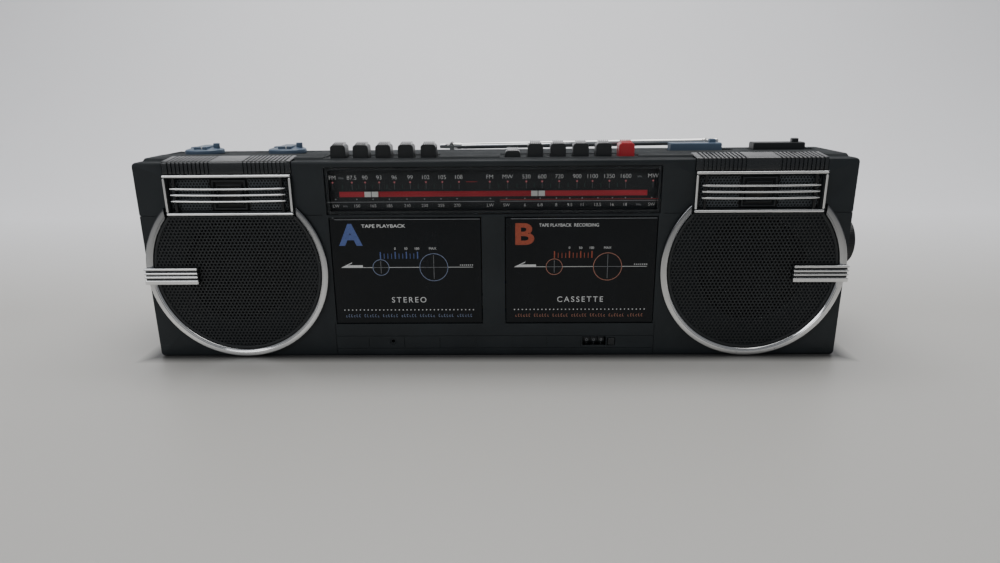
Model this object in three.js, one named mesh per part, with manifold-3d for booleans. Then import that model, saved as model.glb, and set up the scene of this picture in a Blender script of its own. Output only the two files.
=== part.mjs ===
// Portable stereo radio with two cassette decks, built as the real one comes apart:
// two cabinet halves, speakers, dial, tape decks, keys, controls, antenna, handle and electronics.
//
// Millimetres. +X is the listener's right, +Y runs from the front to the back and +Z is up.
// The origin is on the flat bottom, midway between the front and back faces.

import * as THREE from "three";
import { mergeVertices } from "three/addons/utils/BufferGeometryUtils.js";
import Module from "manifold-3d";

const wasm = await Module();
wasm.setup();

// ---------------------------------------------------------------- driving dimensions

const GAP = 0.3; // clearance between pieces that touch on the real object

const body = {
  halfWidth: 280,
  front: -65,
  back: 65,
  split: -30, // joint between the front and back cabinet halves
  wall: 3,
  ledge: 161, // top of the front rim
  top: 163.5, // raised top panel
  topHalfWidth: 274.5,
  topFront: -56,
  topBack: -4, // where the flat top ends and begins to fall towards the back
  stepBack: 50, // back face above the step that the handle hangs in
  stepTop: 78,
  cornerRadius: 5,
  seam: 119.1, // groove round the front and sides
};

const speaker = { x: 206.2, z: 74.4, ringOuter: 73.4, ringInner: 67.6, hole: 42.5 };
const horn = { halfWidth: 50.1, bottom: 119.7, top: 151.6, bars: [140.9, 136.1, 131.2] };
const dial = { halfWidth: 131, bottom: 118.9, top: 156.2, lineHeight: 134.3 };
const deck = { x: 69.6, halfWidth: 60.3, bottom: 27.8, top: 116.9, hinge: [-63.5, 29.8] };
const hub = { x: 21.25, z: 76 }; // reel hubs, from the middle of the deck
const key = { width: 12, depth: 13, pitch: 17.8, front: -53, rise: 172.2, travel: 5.3, bottom: 146 };
const knob = { radius: 15.7, y: -9, x: [-246, -175.3], bottom: 162.4, top: 168 };
const slider = { length: 42, depth: 12, y: -17, x: [166.4, 234.1], bottom: 162.5, top: 169.3 };
const recess = { halfLength: 28, halfDepth: 18.3, floor: 162.1 };
const tuning = { y: -37, z: 90.5, radius: 19, inner: 281.2, outer: 290, shaft: 4, drum: 8 };
const antenna = { x: -37.2, y: 13, z: 165.3, slope: 0.6, radius: 2.8, length: 221.4, pocket: 160.2 };
const handle = { y: 58, z: 149, armX: 243, grip: 58, pin: 3 };
const battery = { halfWidth: 97, bottom: 5, top: 74, front: 25 };
const strip = { left: -104, right: 103, bottom: 6.8, top: 17 };
const counter = { x0: 73.5, x1: 91.5, y: -55, z: 12.3, radius: 6.4 };
const reset = { x0: 93.6, x1: 99.2, z0: 9.1, z1: 14.9 };
const inlet = { x: -200, z: 30, halfWidth: 11, halfHeight: 6, depth: 12 };

// ---------------------------------------------------------------- materials

function finish(color, roughness, metalness = 0) {
  return new THREE.MeshStandardMaterial({ color, roughness, metalness });
}

const blackPlastic = finish(0x1b1e20, 0.5);
const keyPlastic = finish(0x15181a, 0.45);
const redPlastic = finish(0xb5202c, 0.4);
const bluePlastic = finish(0x34506f, 0.45);
const chrome = finish(0xd8d8d6, 0.15, 1);
const grilleMetal = finish(0x101214, 0.55, 0.2);
const smokedPlastic = finish(0x16181b, 0.12);
const scalePrint = finish(0x0e0f11, 0.4);
const pointerWhite = finish(0xe8e4da, 0.4);
const steel = finish(0x9a9ca0, 0.35, 0.9);
const brass = finish(0xb08c4a, 0.35, 0.9);
const paper = finish(0x24221f, 0.9);
const board = finish(0x6b5a2c, 0.7);
const rubber = finish(0x0c0c0c, 0.8);

// ---------------------------------------------------------------- solids

// A closed three.js geometry as a manifold solid.
function solid(geometry) {
  const bare = geometry.index ? geometry.toNonIndexed() : geometry.clone();
  bare.deleteAttribute("normal");
  bare.deleteAttribute("uv");
  const merged = mergeVertices(bare, 1e-4);
  return new wasm.Manifold(
    new wasm.Mesh({
      numProp: 3,
      vertProperties: merged.attributes.position.array,
      triVerts: new Uint32Array(merged.index.array),
    }),
  );
}

// A manifold solid as a three.js geometry.
function geometryOf(made) {
  const mesh = made.getMesh();
  return new THREE.BufferGeometry()
    .setAttribute("position", new THREE.BufferAttribute(new Float32Array(mesh.vertProperties), 3))
    .setIndex(new THREE.BufferAttribute(new Uint32Array(mesh.triVerts), 1));
}

const joined = (...solids) => solids.reduce((whole, next) => whole.add(next));
const without = (whole, ...cuts) => cuts.reduce((left, cut) => left.subtract(cut), whole);

function block(x0, x1, y0, y1, z0, z1) {
  const g = new THREE.BoxGeometry(x1 - x0, y1 - y0, z1 - z0);
  return solid(g.translate((x0 + x1) / 2, (y0 + y1) / 2, (z0 + z1) / 2));
}

// A cylinder between two places on one axis, through the other two coordinates.
function rod(axis, from, to, a, b, radius, sides = 20) {
  const g = new THREE.CylinderGeometry(radius, radius, to - from, sides);
  const middle = (from + to) / 2;
  if (axis === "x") return solid(g.rotateZ(Math.PI / 2).translate(middle, a, b));
  if (axis === "y") return solid(g.translate(a, middle, b));
  return solid(g.rotateX(Math.PI / 2).translate(a, b, middle));
}

// A turned piece. Profile points are [radius, distance along the axis], and the axis passes through a and b.
function turned(axis, profile, a, b, sides = 24) {
  const g = new THREE.LatheGeometry(profile.map(([r, d]) => new THREE.Vector2(r, d)), sides);
  if (axis === "x") g.rotateZ(-Math.PI / 2).translate(0, a, b);
  else if (axis === "y") g.translate(a, 0, b);
  else g.rotateX(Math.PI / 2).translate(a, b, 0);
  const made = solid(g);
  return made.volume() < 0 ? solid(flipped(g)) : made;
}

function flipped(geometry) {
  const g = geometry.index ? geometry.toNonIndexed() : geometry.clone();
  const p = g.attributes.position;
  for (let i = 0; i < p.count; i += 3) {
    const [x, y, z] = [p.getX(i), p.getY(i), p.getZ(i)];
    p.setXYZ(i, p.getX(i + 1), p.getY(i + 1), p.getZ(i + 1));
    p.setXYZ(i + 1, x, y, z);
  }
  return g;
}

// An outline in the X-Z plane, given depth along Y.
function frontOutline(shape, y0, y1, curveSegments = 12) {
  const g = new THREE.ExtrudeGeometry(shape, { depth: y1 - y0, bevelEnabled: false, curveSegments });
  return solid(g.rotateX(Math.PI / 2).translate(0, y1, 0));
}

// An outline in the Y-Z plane, given width along X.
function sideOutline(points, x0, x1) {
  const shape = new THREE.Shape(points.map(([y, z]) => new THREE.Vector2(y, z)));
  const g = new THREE.ExtrudeGeometry(shape, { depth: x1 - x0, bevelEnabled: false });
  return solid(g.rotateY(Math.PI / 2).rotateX(Math.PI / 2).translate(x0, 0, 0));
}

function roundedRectangle(x0, x1, z0, z1, r) {
  const s = new THREE.Shape();
  s.moveTo(x0 + r, z0).lineTo(x1 - r, z0).absarc(x1 - r, z0 + r, r, -Math.PI / 2, 0);
  s.lineTo(x1, z1 - r).absarc(x1 - r, z1 - r, r, 0, Math.PI / 2);
  s.lineTo(x0 + r, z1).absarc(x0 + r, z1 - r, r, Math.PI / 2, Math.PI);
  s.lineTo(x0, z0 + r).absarc(x0 + r, z0 + r, r, Math.PI, 1.5 * Math.PI);
  return s;
}

const product = new THREE.Group();

function place(name, made, material, parent = product, position = [0, 0, 0]) {
  const mesh = new THREE.Mesh(geometryOf(made), material);
  mesh.name = name;
  mesh.position.set(...position);
  parent.add(mesh);
  return mesh;
}

function group(x = 0, y = 0, z = 0, parent = product) {
  const g = new THREE.Group();
  g.position.set(x, y, z);
  parent.add(g);
  return g;
}

const SIDES = [["left", -1], ["right", 1]];

// ---------------------------------------------------------------- cabinet

// The rounded front view of the whole cabinet, between two depths.
function cabinetOutline(y0, y1) {
  const rim = roundedRectangle(-body.halfWidth, body.halfWidth, 0, body.ledge, body.cornerRadius);
  const raised = block(-body.topHalfWidth, body.topHalfWidth, y0, y1, body.ledge - 10, body.top);
  return frontOutline(rim, y0, y1, 5).add(raised);
}

// Each key's centre, counted from the left: five keys over the left deck and six over the right one.
function keysOver(deckName, firstX, names) {
  return names.map((name, i) => [`${deckName}_${name}_key`, firstX + i * key.pitch]);
}
const keyRow = [
  ...keysOver("deck_a", -121.7, ["pause", "stop", "forward", "rewind", "play"]),
  ...keysOver("deck_b", 15.7, ["pause", "stop", "forward", "rewind", "play", "record"]),
];

const stripHalf = 50.2;

function ribbedStripProfile(inset) {
  const [topBack, top] = [-45.5 + inset, 164.2 + inset];
  return [
    [-66 - inset, 151.8 - inset], [-66 - inset, 160.6], [-65.1, 161.9 + inset], [topBack, top],
    [topBack, 162.2 - inset], [-62.6 + inset, 160.2 - inset], [-64 + inset, 158.6],
    [-64 + inset, 151.8 - inset],
  ];
}

function frontCabinet() {
  const { halfWidth: w, front, split, wall, seam } = body;
  const inFront = front - 10;
  const behindWall = front + wall + 1;
  const profile = [
    [front, 0], [front, 157.3], [front + 0.8, 158], [front + 1.2, 160.2], [front + 2.4, body.ledge],
    [body.topFront, body.ledge], [body.topFront + 0.5, body.top], [split, body.top], [split, 0],
  ];
  const hollow = block(-w + wall, w - wall, front + wall, split + 1, wall, 158);
  const cuts = [hollow];
  for (const [, side] of SIDES) {
    cuts.push(rod("y", inFront, behindWall, side * speaker.x, speaker.z, speaker.hole, 40));
    const hornX = side * speaker.x;
    cuts.push(block(hornX - 47.6, hornX + 47.6, inFront, behindWall, horn.bottom + 2.8, horn.top - 3));
    const stripEnds = [hornX - stripHalf - GAP, hornX + stripHalf + GAP];
    cuts.push(sideOutline(ribbedStripProfile(GAP), ...stripEnds));
    const aboveStrip = [[front - 1, 161.5], [-45.5 + GAP, 163], [-45.5 + GAP, 170], [front - 1, 170]];
    cuts.push(sideOutline(aboveStrip, ...stripEnds));
    const deckX = side * deck.x;
    const [deckLeft, deckRight] = [deckX - deck.halfWidth, deckX + deck.halfWidth];
    cuts.push(block(deckLeft, deckRight, inFront, behindWall, deck.bottom, deck.top));
    cuts.push(rod("x", deckX - 62.2, deckX + 62.2, ...deck.hinge, 1.15, 10));
    const edge = side * w;
    cuts.push(block(edge - 0.7, edge + 0.7, inFront, split + 1, seam - 0.4, seam + 0.4));
    const [g0, g1] = side < 0 ? [-w - 1, -dial.halfWidth - 3] : [dial.halfWidth + 3, w + 1];
    cuts.push(block(g0, g1, inFront, front + 0.7, seam - 0.4, seam + 0.4));
  }
  cuts.push(block(-dial.halfWidth, dial.halfWidth, inFront, behindWall, dial.bottom, dial.top));
  cuts.push(block(strip.left, strip.right, inFront, front + 0.6, strip.bottom, strip.top));
  cuts.push(block(counter.x0 - 0.6, counter.x1 + 0.6, inFront, behindWall, 8.2, 16.2));
  cuts.push(block(reset.x0 - GAP, reset.x1 + GAP, inFront, behindWall, reset.z0 - GAP, reset.z1 + GAP));
  cuts.push(rod("y", inFront, behindWall, -84.2, 12.4, 1.4, 12));
  cuts.push(rod("x", w - wall - 1, w + 1, tuning.y, tuning.z, tuning.shaft + GAP, 20));
  for (const [, x] of keyRow) {
    const half = key.width / 2 + 0.4;
    cuts.push(block(x - half, x + half, key.front - 0.4, key.front + key.depth + 0.4, 150, 170));
  }
  return without(cabinetOutline(front, split).intersect(sideOutline(profile, -w - 1, w + 1)), ...cuts);
}

function rearCabinet() {
  const { halfWidth: w, back, split, wall, seam, stepBack, stepTop } = body;
  const front = split + GAP;
  const behind = back + 10;
  const profile = [
    [front, 0], [front, body.top], [body.topBack, body.top], [14, 162.1], [31, 160.3], [back - 5, 157],
    [back, 153.5], [back, 0],
  ];
  const inside = [
    [front - 1, wall], [front - 1, 160], [body.topBack, 160], [14, 158.8], [31, 157.2],
    [stepBack - wall, 155.2], [stepBack - wall, stepTop - wall],
    [back - wall, stepTop - wall], [back - wall, wall],
  ];
  const hollow = sideOutline(inside, -w + wall, w - wall);
  // The handle hangs in a step across the back, between two cheeks that hold its pins.
  const outerX = handle.armX + 9;
  const handleStep = block(-outerX, outerX, stepBack, behind, stepTop, 170);
  const bayHalf = battery.halfWidth;
  const bay = block(-bayHalf - 2, bayHalf + 2, battery.front - 2, back - 1, wall - 1, stepTop - 1);
  const bayHollow = block(-bayHalf, bayHalf, battery.front, back - wall, battery.bottom, battery.top);
  const bayDoor = block(-bayHalf + 3, bayHalf - 3, back - wall - 1, behind, 8, 71);
  const { x, z, halfWidth, halfHeight, depth } = inlet;
  function socketBox(room, end) {
    const [across, up] = [halfWidth + room, halfHeight + room];
    return block(x - across, x + across, back - depth - room, end, z - up, z + up);
  }
  const cuts = [handleStep, bayHollow, bayDoor, socketBox(0, behind)];
  for (const [, side] of SIDES) {
    const edge = side * w;
    cuts.push(block(edge - 0.7, edge + 0.7, front - 1, back + 1, seam - 0.4, seam + 0.4));
    const pinX = side * (outerX + 2);
    cuts.push(rod("x", pinX - 4, pinX + 4, handle.y, handle.z, handle.pin + GAP, 16));
    const hingeX = side * bayHalf;
    cuts.push(rod("x", hingeX - 4.2, hingeX + 4.2, back - 1.5, 9.6, 1.2, 10));
  }
  for (const knobX of knob.x) {
    const [dishFront, dishBack] = [knob.y - recess.halfDepth, knob.y + recess.halfDepth];
    const [dishLeft, dishRight] = [knobX - recess.halfLength, knobX + recess.halfLength];
    cuts.push(block(dishLeft, dishRight, dishFront, dishBack, recess.floor, 170));
    cuts.push(rod("z", 150, 170, knobX, knob.y, 3.4, 16));
  }
  for (const sliderX of slider.x) {
    const [dishFront, dishBack] = [slider.y - 7.5, slider.y + 7.5];
    cuts.push(block(sliderX - 22.5, sliderX + 32, dishFront, dishBack, recess.floor, 170));
    cuts.push(block(sliderX - 6, sliderX + 18, slider.y - 1.5, slider.y + 1.5, 150, 170));
  }
  cuts.push(rod("z", 150, 170, antenna.x, antenna.y, 2.4, 12));
  cuts.push(rod("z", antenna.pocket, 170, antenna.x, antenna.y, 6, 24));
  const shell = cabinetOutline(front, back).intersect(sideOutline(profile, -w - 1, w + 1)).subtract(hollow);
  return without(joined(shell, bay, socketBox(2, back - 1)), ...cuts);
}

function ribbedStrip() {
  const made = sideOutline(ribbedStripProfile(0), -stripHalf, stripHalf);
  const across = [[-70, 160.8], [-70, 170], [-44, 170], [-44, 163.5], [-65.1, 161.1]];
  const grooves = [];
  for (const start of [-45.4, 13.6]) {
    for (let i = 0; i < 10; i++) {
      const x = start + i * 3.2;
      grooves.push(block(x, x + 1.4, -70, -65.1, 150, 170));
      grooves.push(sideOutline(across, x, x + 1.4));
    }
  }
  return without(made, ...grooves);
}

place("front_cabinet", frontCabinet(), blackPlastic);
place("rear_cabinet", rearCabinet(), blackPlastic);
for (const [name, side] of SIDES) {
  place(name + "_ribbed_strip", ribbedStrip(), blackPlastic, product, [side * speaker.x, 0, 0]);
}

// ---------------------------------------------------------------- speakers

function grille() {
  const disc = rod("y", -66.5, -65.3, 0, 0, speaker.ringInner - 0.5, 40);
  return disc.subtract(block(-80, 80, -70, -60, 44.5, 80));
}

// A chrome ring that is open behind the horn frame, with a four-bar clip on its outer side.
function speakerTrim(side) {
  const { ringOuter: outer, ringInner: inner } = speaker;
  const section = [
    [inner, -65.3], [outer, -65.3], [outer, -67.4],
    [outer - 1.6, -68.4], [inner + 1.2, -68.4], [inner, -67.2], [inner, -65.3],
  ];
  const ring = turned("y", section, 0, 0, 56);
  const opening = block(-52.2, 52.2, -75, -60, 0, 90);
  const [x0, x1] = side < 0 ? [-74.4, -31.2] : [31.2, 74.4];
  const plate = block(x0, x1, -68.6, -66.9, -10.1, 3);
  const heights = [[1.3, 3.2], [-2.2, -0.4], [-5.2, -3.4], [-10.3, -6.8]];
  const bars = heights.map(([z0, z1]) => block(x0, x1, -71, -68, z0, z1));
  return joined(ring.subtract(opening), plate, ...bars);
}

function hornFrame() {
  const { halfWidth: w, bottom, top } = horn;
  const outer = block(-w, w, -68.8, -65.3, bottom, top);
  const window = block(-w + 2.6, w - 2.6, -75, -60, bottom + 2.4, top - 2.4);
  const bars = horn.bars.map((z) => block(-45, 45, -68.8, -66.8, z - 0.85, z + 0.85));
  const posts = [-30, 30].map((x) => block(x - 1, x + 1, -67, -65.3, bottom + 1, top - 1));
  return joined(outer.subtract(window), ...bars, ...posts);
}

// A small horn tweeter: a plate with a raised square mouth, and a magnet behind it.
function tweeter() {
  const plate = block(-47.2, 47.2, -63.6, -61.2, 122.9, 147.9);
  const mouth = block(-16, 16, -64.6, -61.4, 123.6, 147.2);
  const throat = block(-12.5, 12.5, -70, -61.95, 126.4, 144.4);
  const dome = turned("y", [[0, -63.2], [3, -62.9], [5, -61.8], [5, -61], [0, -61]], 0, 135.4, 16);
  const magnet = rod("y", -61.6, -46, 0, 135.4, 11, 20);
  return joined(joined(plate, mouth).subtract(throat), dome, magnet);
}

function woofer() {
  const magnetAndBasket = [
    [0, -26], [0, -17], [27, -17], [27, -31], [34, -36], [43, -59.4], [47.5, -59.4],
    [47.5, -61.7], [42.5, -61.7], [32, -35.6], [24, -32], [14, -32], [14, -26], [0, -26],
  ];
  return turned("y", magnetAndBasket, 0, 0, 28);
}

function wooferCone() {
  const front = [[0, -47], [8, -45], [12.5, -41], [33.5, -56.3], [36.6, -59.2], [39.8, -58.4]];
  const back = [[39.8, -57.4], [36.5, -58], [33.5, -55.1], [13, -39.6], [13, -34]];
  return turned("y", [...front, ...back, [11.8, -34], [11.8, -40.2], [7.4, -44], [0, -46]], 0, 0, 28);
}

for (const [name, side] of SIDES) {
  const unit = group(side * speaker.x, 0, speaker.z);
  place(name + "_grille", grille(), grilleMetal, unit);
  place(name + "_speaker_trim", speakerTrim(side), chrome, unit);
  place(name + "_woofer", woofer(), steel, unit);
  place(name + "_woofer_cone", wooferCone(), paper, unit);
  place(name + "_horn_frame", hornFrame(), chrome, product, [side * speaker.x, 0, 0]);
  place(name + "_tweeter", tweeter(), keyPlastic, product, [side * speaker.x, 0, 0]);
}

// ---------------------------------------------------------------- tuning dial

const dialInside = dial.halfWidth - GAP;
const dialCover = block(-dialInside, dialInside, -65.2, -63.2, dial.bottom + GAP, dial.top - GAP);
place("dial_window", dialCover, smokedPlastic);

function dialScale() {
  const plate = block(-129, 129, -56, -54.4, 121.2, 154.6);
  const feet = [-125, 120].map((x) => block(x, x + 5, -55, -50, 130, 140));
  return joined(plate, ...feet);
}
place("dial_scale", dialScale(), scalePrint);

// Two pointers, joined by the thin bar that the dial cord pulls along the scale.
function dialPointers() {
  const [left, right] = [-96, 35.5];
  const flags = [left, right].map((x) => block(x - 5.4, x + 5.4, -59, -57.4, -2.1, 2.1));
  return joined(...flags, block(left, right, -58, -57.2, -0.4, 0.4));
}
place("dial_pointers", dialPointers(), pointerWhite, product, [0, 0, dial.lineHeight]);

function tuningKnob() {
  const { radius, inner, outer, shaft, drum } = tuning;
  const cordDrum = [[0, 262], [drum, 262], [drum, 264], [drum - 1, 265.5], [drum, 267], [drum, 269]];
  const rim = [[radius - 0.6, inner], [radius, inner + 1], [radius, outer - 1], [radius - 1, outer]];
  const face = [[radius - 3, outer - 0.6], [0, outer - 0.6]];
  return turned("x", [...cordDrum, [shaft, 269], [shaft, inner], ...rim, ...face], 0, 0, 32);
}
place("tuning_knob", tuningKnob(), keyPlastic, product, [0, tuning.y, tuning.z]);

// ---------------------------------------------------------------- cassette decks

// A door hinged along its bottom edge. Behind the panel are the shelf and rails that hold the cassette.
function deckDoor() {
  const [hingeY, hingeZ] = deck.hinge;
  const half = deck.halfWidth - 0.4;
  const top = deck.top - 0.4 - hingeZ;
  const panel = joined(block(-half, half, -1.4, 1.4, 0, top), rod("x", -half, half, 0, 0, 1.4, 12));
  const pins = rod("x", -half - 1.7, half + 1.7, 0, 0, 0.8, 8);
  const shelf = block(-54.2, 54.2, 1, 15, 14.8, 16.8);
  const rails = [-1, 1].map((side) => {
    const rail = block(51.4, 54.2, 1, 15, 15, 66);
    const lip = block(48, 52, 13.6, 15, 24, 56);
    return side < 0 ? joined(rail, lip).mirror([1, 0, 0]) : joined(rail, lip);
  });
  const made = joined(panel, pins, shelf, ...rails);
  return { made, position: [0, hingeY, hingeZ] };
}

const [capstanX, capstanZ] = [-20.5, 103.5];

function deckChassis() {
  const plate = block(-57, 57, -45.8, -44.4, 22, 117);
  const flange = block(-57, 57, -45, -40, 20.4, 22.4);
  const holes = [
    rod("y", -50, -40, -hub.x, hub.z, 2.2, 16),
    rod("y", -50, -40, hub.x, hub.z, 2.2, 16),
    rod("y", -50, -40, capstanX, capstanZ, 1.8, 12),
  ];
  return without(joined(plate, flange), ...holes);
}

// A reel spindle: a collar, a hub with three drive teeth, and the journal that runs in the chassis.
function spindle() {
  const section = [
    [0, -55.6], [1.6, -55.6], [3, -54], [3, -48.2], [8.5, -48.2],
    [8.5, -46.2], [1.8, -46.2], [1.8, -43.4], [0, -43.4],
  ];
  const core = turned("y", section, 0, 0, 16);
  const teeth = [0, 1, 2].map((i) => {
    const g = new THREE.BoxGeometry(1.2, 4.4, 2.2).translate(0, -51.4, 3.6);
    return solid(g.rotateY((i * 2 * Math.PI) / 3));
  });
  return joined(core, ...teeth);
}

function capstan() {
  const shaft = [[0, -55], [1.3, -55], [1.3, -41.5], [5, -41.5], [5, -40]];
  return turned("y", [...shaft, [22, -40], [21.4, -38], [22, -36], [0, -36]], 0, 0, 28);
}

// The head bridge, which the play key pushes down onto the tape: plate, play head, erase head, guide and arm.
function headSlide(armX) {
  return joined(
    block(-18, 24, -49, -46.5, 108, 120.5),
    block(-6, 7, -56, -48, 111.4, 119.6),
    block(11, 18, -55, -48, 111.6, 118.6),
    block(-12, -9, -54, -48, 111.6, 117.6),
    block(armX - 3, armX + 3, -49, -46.5, 120, key.bottom - GAP),
  );
}

for (const [letter, side] of [["a", -1], ["b", 1]]) {
  const unit = group(side * deck.x, 0, 0);
  const door = deckDoor();
  place(`deck_${letter}_door`, door.made, smokedPlastic, unit, door.position);
  place(`deck_${letter}_chassis`, deckChassis(), steel, unit);
  place(`deck_${letter}_takeup_spindle`, spindle(), blackPlastic, unit, [-hub.x, 0, hub.z]);
  place(`deck_${letter}_supply_spindle`, spindle(), blackPlastic, unit, [hub.x, 0, hub.z]);
  place(`deck_${letter}_capstan`, capstan(), brass, unit, [capstanX, 0, capstanZ]);
  const playX = keyRow.find(([name]) => name === `deck_${letter}_play_key`)[1];
  place(`deck_${letter}_head_slide`, headSlide(playX - side * deck.x), steel, unit);
}

// One motor between the decks turns both capstan flywheels through one belt.
const motor = { x: capstanX, z: 46, pulley: 4.6 };
const motorCan = rod("y", -34, -12, 0, 0, 16).add(rod("y", -35, -33, 0, 0, 4, 12));
place("tape_motor", motorCan, steel, product, [motor.x, 0, motor.z]);

function motorPulley() {
  const r = motor.pulley;
  return turned("y", [[0, -41], [r, -41], [r - 0.6, -38], [r, -35.4], [0, -35.4]], 0, 0, 20);
}
place("motor_pulley", motorPulley(), brass, product, [motor.x, 0, motor.z]);

// The outline that wraps three wheels at a distance from their rims.
function beltOutline(distance) {
  const flywheels = [-deck.x, deck.x].map((x) => [capstanX + x, capstanZ, 22]);
  const wheels = [...flywheels, [motor.x, motor.z, motor.pulley]];
  const points = [];
  for (let i = 0; i < 48; i++) {
    const angle = (i / 48) * 2 * Math.PI;
    const [nx, nz] = [Math.cos(angle), Math.sin(angle)];
    const reach = ([x, z, r]) => x * nx + z * nz + r;
    const [x, z, r] = wheels.reduce((best, next) => (reach(next) > reach(best) ? next : best));
    points.push(new THREE.Vector2(x + (r + distance) * nx, z + (r + distance) * nz));
  }
  return points;
}

function driveBelt() {
  const shape = new THREE.Shape(beltOutline(2.1));
  shape.holes.push(new THREE.Path(beltOutline(0.5).reverse()));
  return frontOutline(shape, -38.9, -37.3);
}
place("drive_belt", driveBelt(), rubber);

// ---------------------------------------------------------------- tape keys

// A key with a ribbed finger pad that rises towards its back.
function tapeKey() {
  const { width, depth, front, rise, bottom } = key;
  const half = width / 2;
  const back = front + depth;
  const stem = block(-half, half, front, back, bottom, rise - 0.8);
  const crown = [
    [front + 0.6, rise], [front, rise - 0.8], [front, rise - 2],
    [back, rise - 2], [back, rise - 0.6], [back - 0.6, rise],
  ];
  const pad = [
    [front + 2, rise - 1], [front + 2, rise + 0.1], [back - 4, rise + 1.6], [back - 0.8, rise + 1.8],
    [back - 0.8, rise - 1],
  ];
  const grooves = [];
  for (const x of [-3, -1, 1, 3]) {
    grooves.push(block(x - 0.3, x + 0.3, front + 1, back, rise + 0.5, rise + 5));
  }
  return joined(stem, sideOutline(crown, -half, half), without(sideOutline(pad, -4.6, 4.6), ...grooves));
}

for (const [name, x] of keyRow) {
  const held = name === "deck_b_pause_key"; // latched down
  const colour = name === "deck_b_record_key" ? redPlastic : keyPlastic;
  place(name, tapeKey(), colour, product, [x, 0, held ? -key.travel : 0]);
}

// ---------------------------------------------------------------- controls on the top

// A flat disc with a finger peg near its edge, on a shaft.
function rotaryKnob() {
  const { radius, bottom, top } = knob;
  const shaft = [[0, 154], [3, 154], [3, bottom]];
  const rim = [[radius - 0.6, bottom], [radius, bottom + 0.6], [radius, top - 0.8], [radius - 0.8, top]];
  const disc = turned("z", [...shaft, ...rim, [0, top]], 0, 0, 32);
  return disc.add(rod("z", top - 1, top + 3, 10.4, 0, 2.6, 14));
}

// A long cap with a square finger peg near its right end, on a blade that passes through the slot.
function slideCap() {
  const { length, depth, bottom, top } = slider;
  const [half, deep] = [length / 2, depth / 2];
  const section = [[-deep, top - 1], [-deep + 1, top], [deep - 1, top], [deep, top - 1], [deep, bottom]];
  const cap = sideOutline([[-deep, bottom], ...section], -half, half);
  const peg = block(11.4, 16.8, -2.6, 2.6, top - 1, top + 3);
  const blade = block(-3.5, 3.5, -1.2, 1.2, 154, bottom + 1);
  return joined(cap, peg, blade);
}

place("volume_knob", rotaryKnob(), bluePlastic, product, [knob.x[0], knob.y, 0]);
place("tone_knob", rotaryKnob(), bluePlastic, product, [knob.x[1], knob.y, 0]);
place("band_slider", slideCap(), bluePlastic, product, [slider.x[0], slider.y, 0]);
place("function_slider", slideCap(), keyPlastic, product, [slider.x[1], slider.y, 0]);

// ---------------------------------------------------------------- telescopic antenna

const mast = group(antenna.x, antenna.y, antenna.z);

// A turning base in a round pocket, with two ears that hold the antenna's pin and a stub behind them.
function antennaSwivel() {
  const stem = rod("z", -12, -4.5, 0, 0, 2, 12);
  const plate = rod("z", -4.8, -4, 0, 0, 5.4);
  const ears = [[-4.7, -3.2], [3.2, 4.7]].flatMap(([y0, y1]) => [
    block(-1.7, 1.7, y0, y1, -4.2, 3.6),
    block(-5.6, 1.7, y0, y1, -1.8, 1.2),
  ]);
  const yoke = block(-5.6, -4, -4.7, 4.7, -1.8, 1.8);
  const stub = rod("x", -10.7, -5, 0, 0, 2, 16);
  const pin = rod("y", -4, 4, 0, 0, 0.7, 8);
  return joined(stem, plate, ...ears, yoke, stub, pin);
}
place("antenna_swivel", antennaSwivel(), steel, mast);

const telescope = group(0, 0, 0, mast);
telescope.rotation.y = -THREE.MathUtils.degToRad(antenna.slope);

function antennaTube() {
  const { radius: r, length } = antenna;
  const butt = [[0, -2.2], [r - 1.2, -2.2], [r, -1.4]];
  const collar = [[r, length - 4], [r + 0.5, length - 3.4], [r + 0.5, length - 1], [r, length]];
  const bore = [[2.25, length], [2.25, 6], [0, 6]];
  return turned("x", [...butt, ...collar, ...bore], 0, 0, 16).subtract(rod("y", -5, 5, 0, 0, 1.1, 10));
}
place("antenna_tube", antennaTube(), chrome, telescope);

function antennaMiddle() {
  const end = antenna.length;
  return turned("x", [[0, 10], [1.9, 10], [1.9, end + 1.5], [1.4, end + 1.5], [1.4, 16], [0, 16]], 0, 0, 12);
}
place("antenna_middle", antennaMiddle(), chrome, telescope);

function antennaTip() {
  const end = antenna.length;
  const cap = [[2.6, end + 3.6], [3, end + 5], [3, end + 9], [2, end + 10.4], [0, end + 10.4]];
  return turned("x", [[0, 20], [1.05, 20], [1.05, end + 3], ...cap], 0, 0, 12);
}
place("antenna_tip", antennaTip(), chrome, telescope);

// ---------------------------------------------------------------- handle, hanging in the step at the back

function carryHandle() {
  const { armX, grip, pin } = handle;
  const arms = [-armX, armX].map((x) => joined(
    block(x - 7, x + 7, -6, 6, -grip, 0),
    rod("x", x - 7, x + 7, 0, 0, 6),
    rod("x", x < 0 ? x - 12 : x, x < 0 ? x : x + 12, 0, 0, pin, 12),
  ));
  const outline = roundedRectangle(-6, 6, -grip - 9, -grip + 9, 4);
  const settings = { depth: 2 * armX + 14, bevelEnabled: false, curveSegments: 4 };
  const bar = new THREE.ExtrudeGeometry(outline, settings);
  bar.rotateX(Math.PI / 2).rotateZ(Math.PI / 2).translate(-armX - 7, 0, 0);
  return joined(...arms, solid(bar));
}
place("carry_handle", carryHandle(), blackPlastic, product, [0, handle.y, handle.z]);

// ---------------------------------------------------------------- battery cover and electronics

function batteryCover() {
  const half = battery.halfWidth - 3.5;
  const panel = block(-half, half, -1.4, 1.4, 0, 61);
  const knuckle = rod("x", -half, half, 0, 0, 1.4, 12);
  const pins = rod("x", -half - 2.6, half + 2.6, 0, 0, 0.8, 8);
  const latch = block(-8, 8, -3.4, -1, 52, 58);
  return joined(panel, knuckle, pins, latch);
}
place("battery_cover", batteryCover(), blackPlastic, product, [0, body.back - 1.5, 9.6]);

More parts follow.
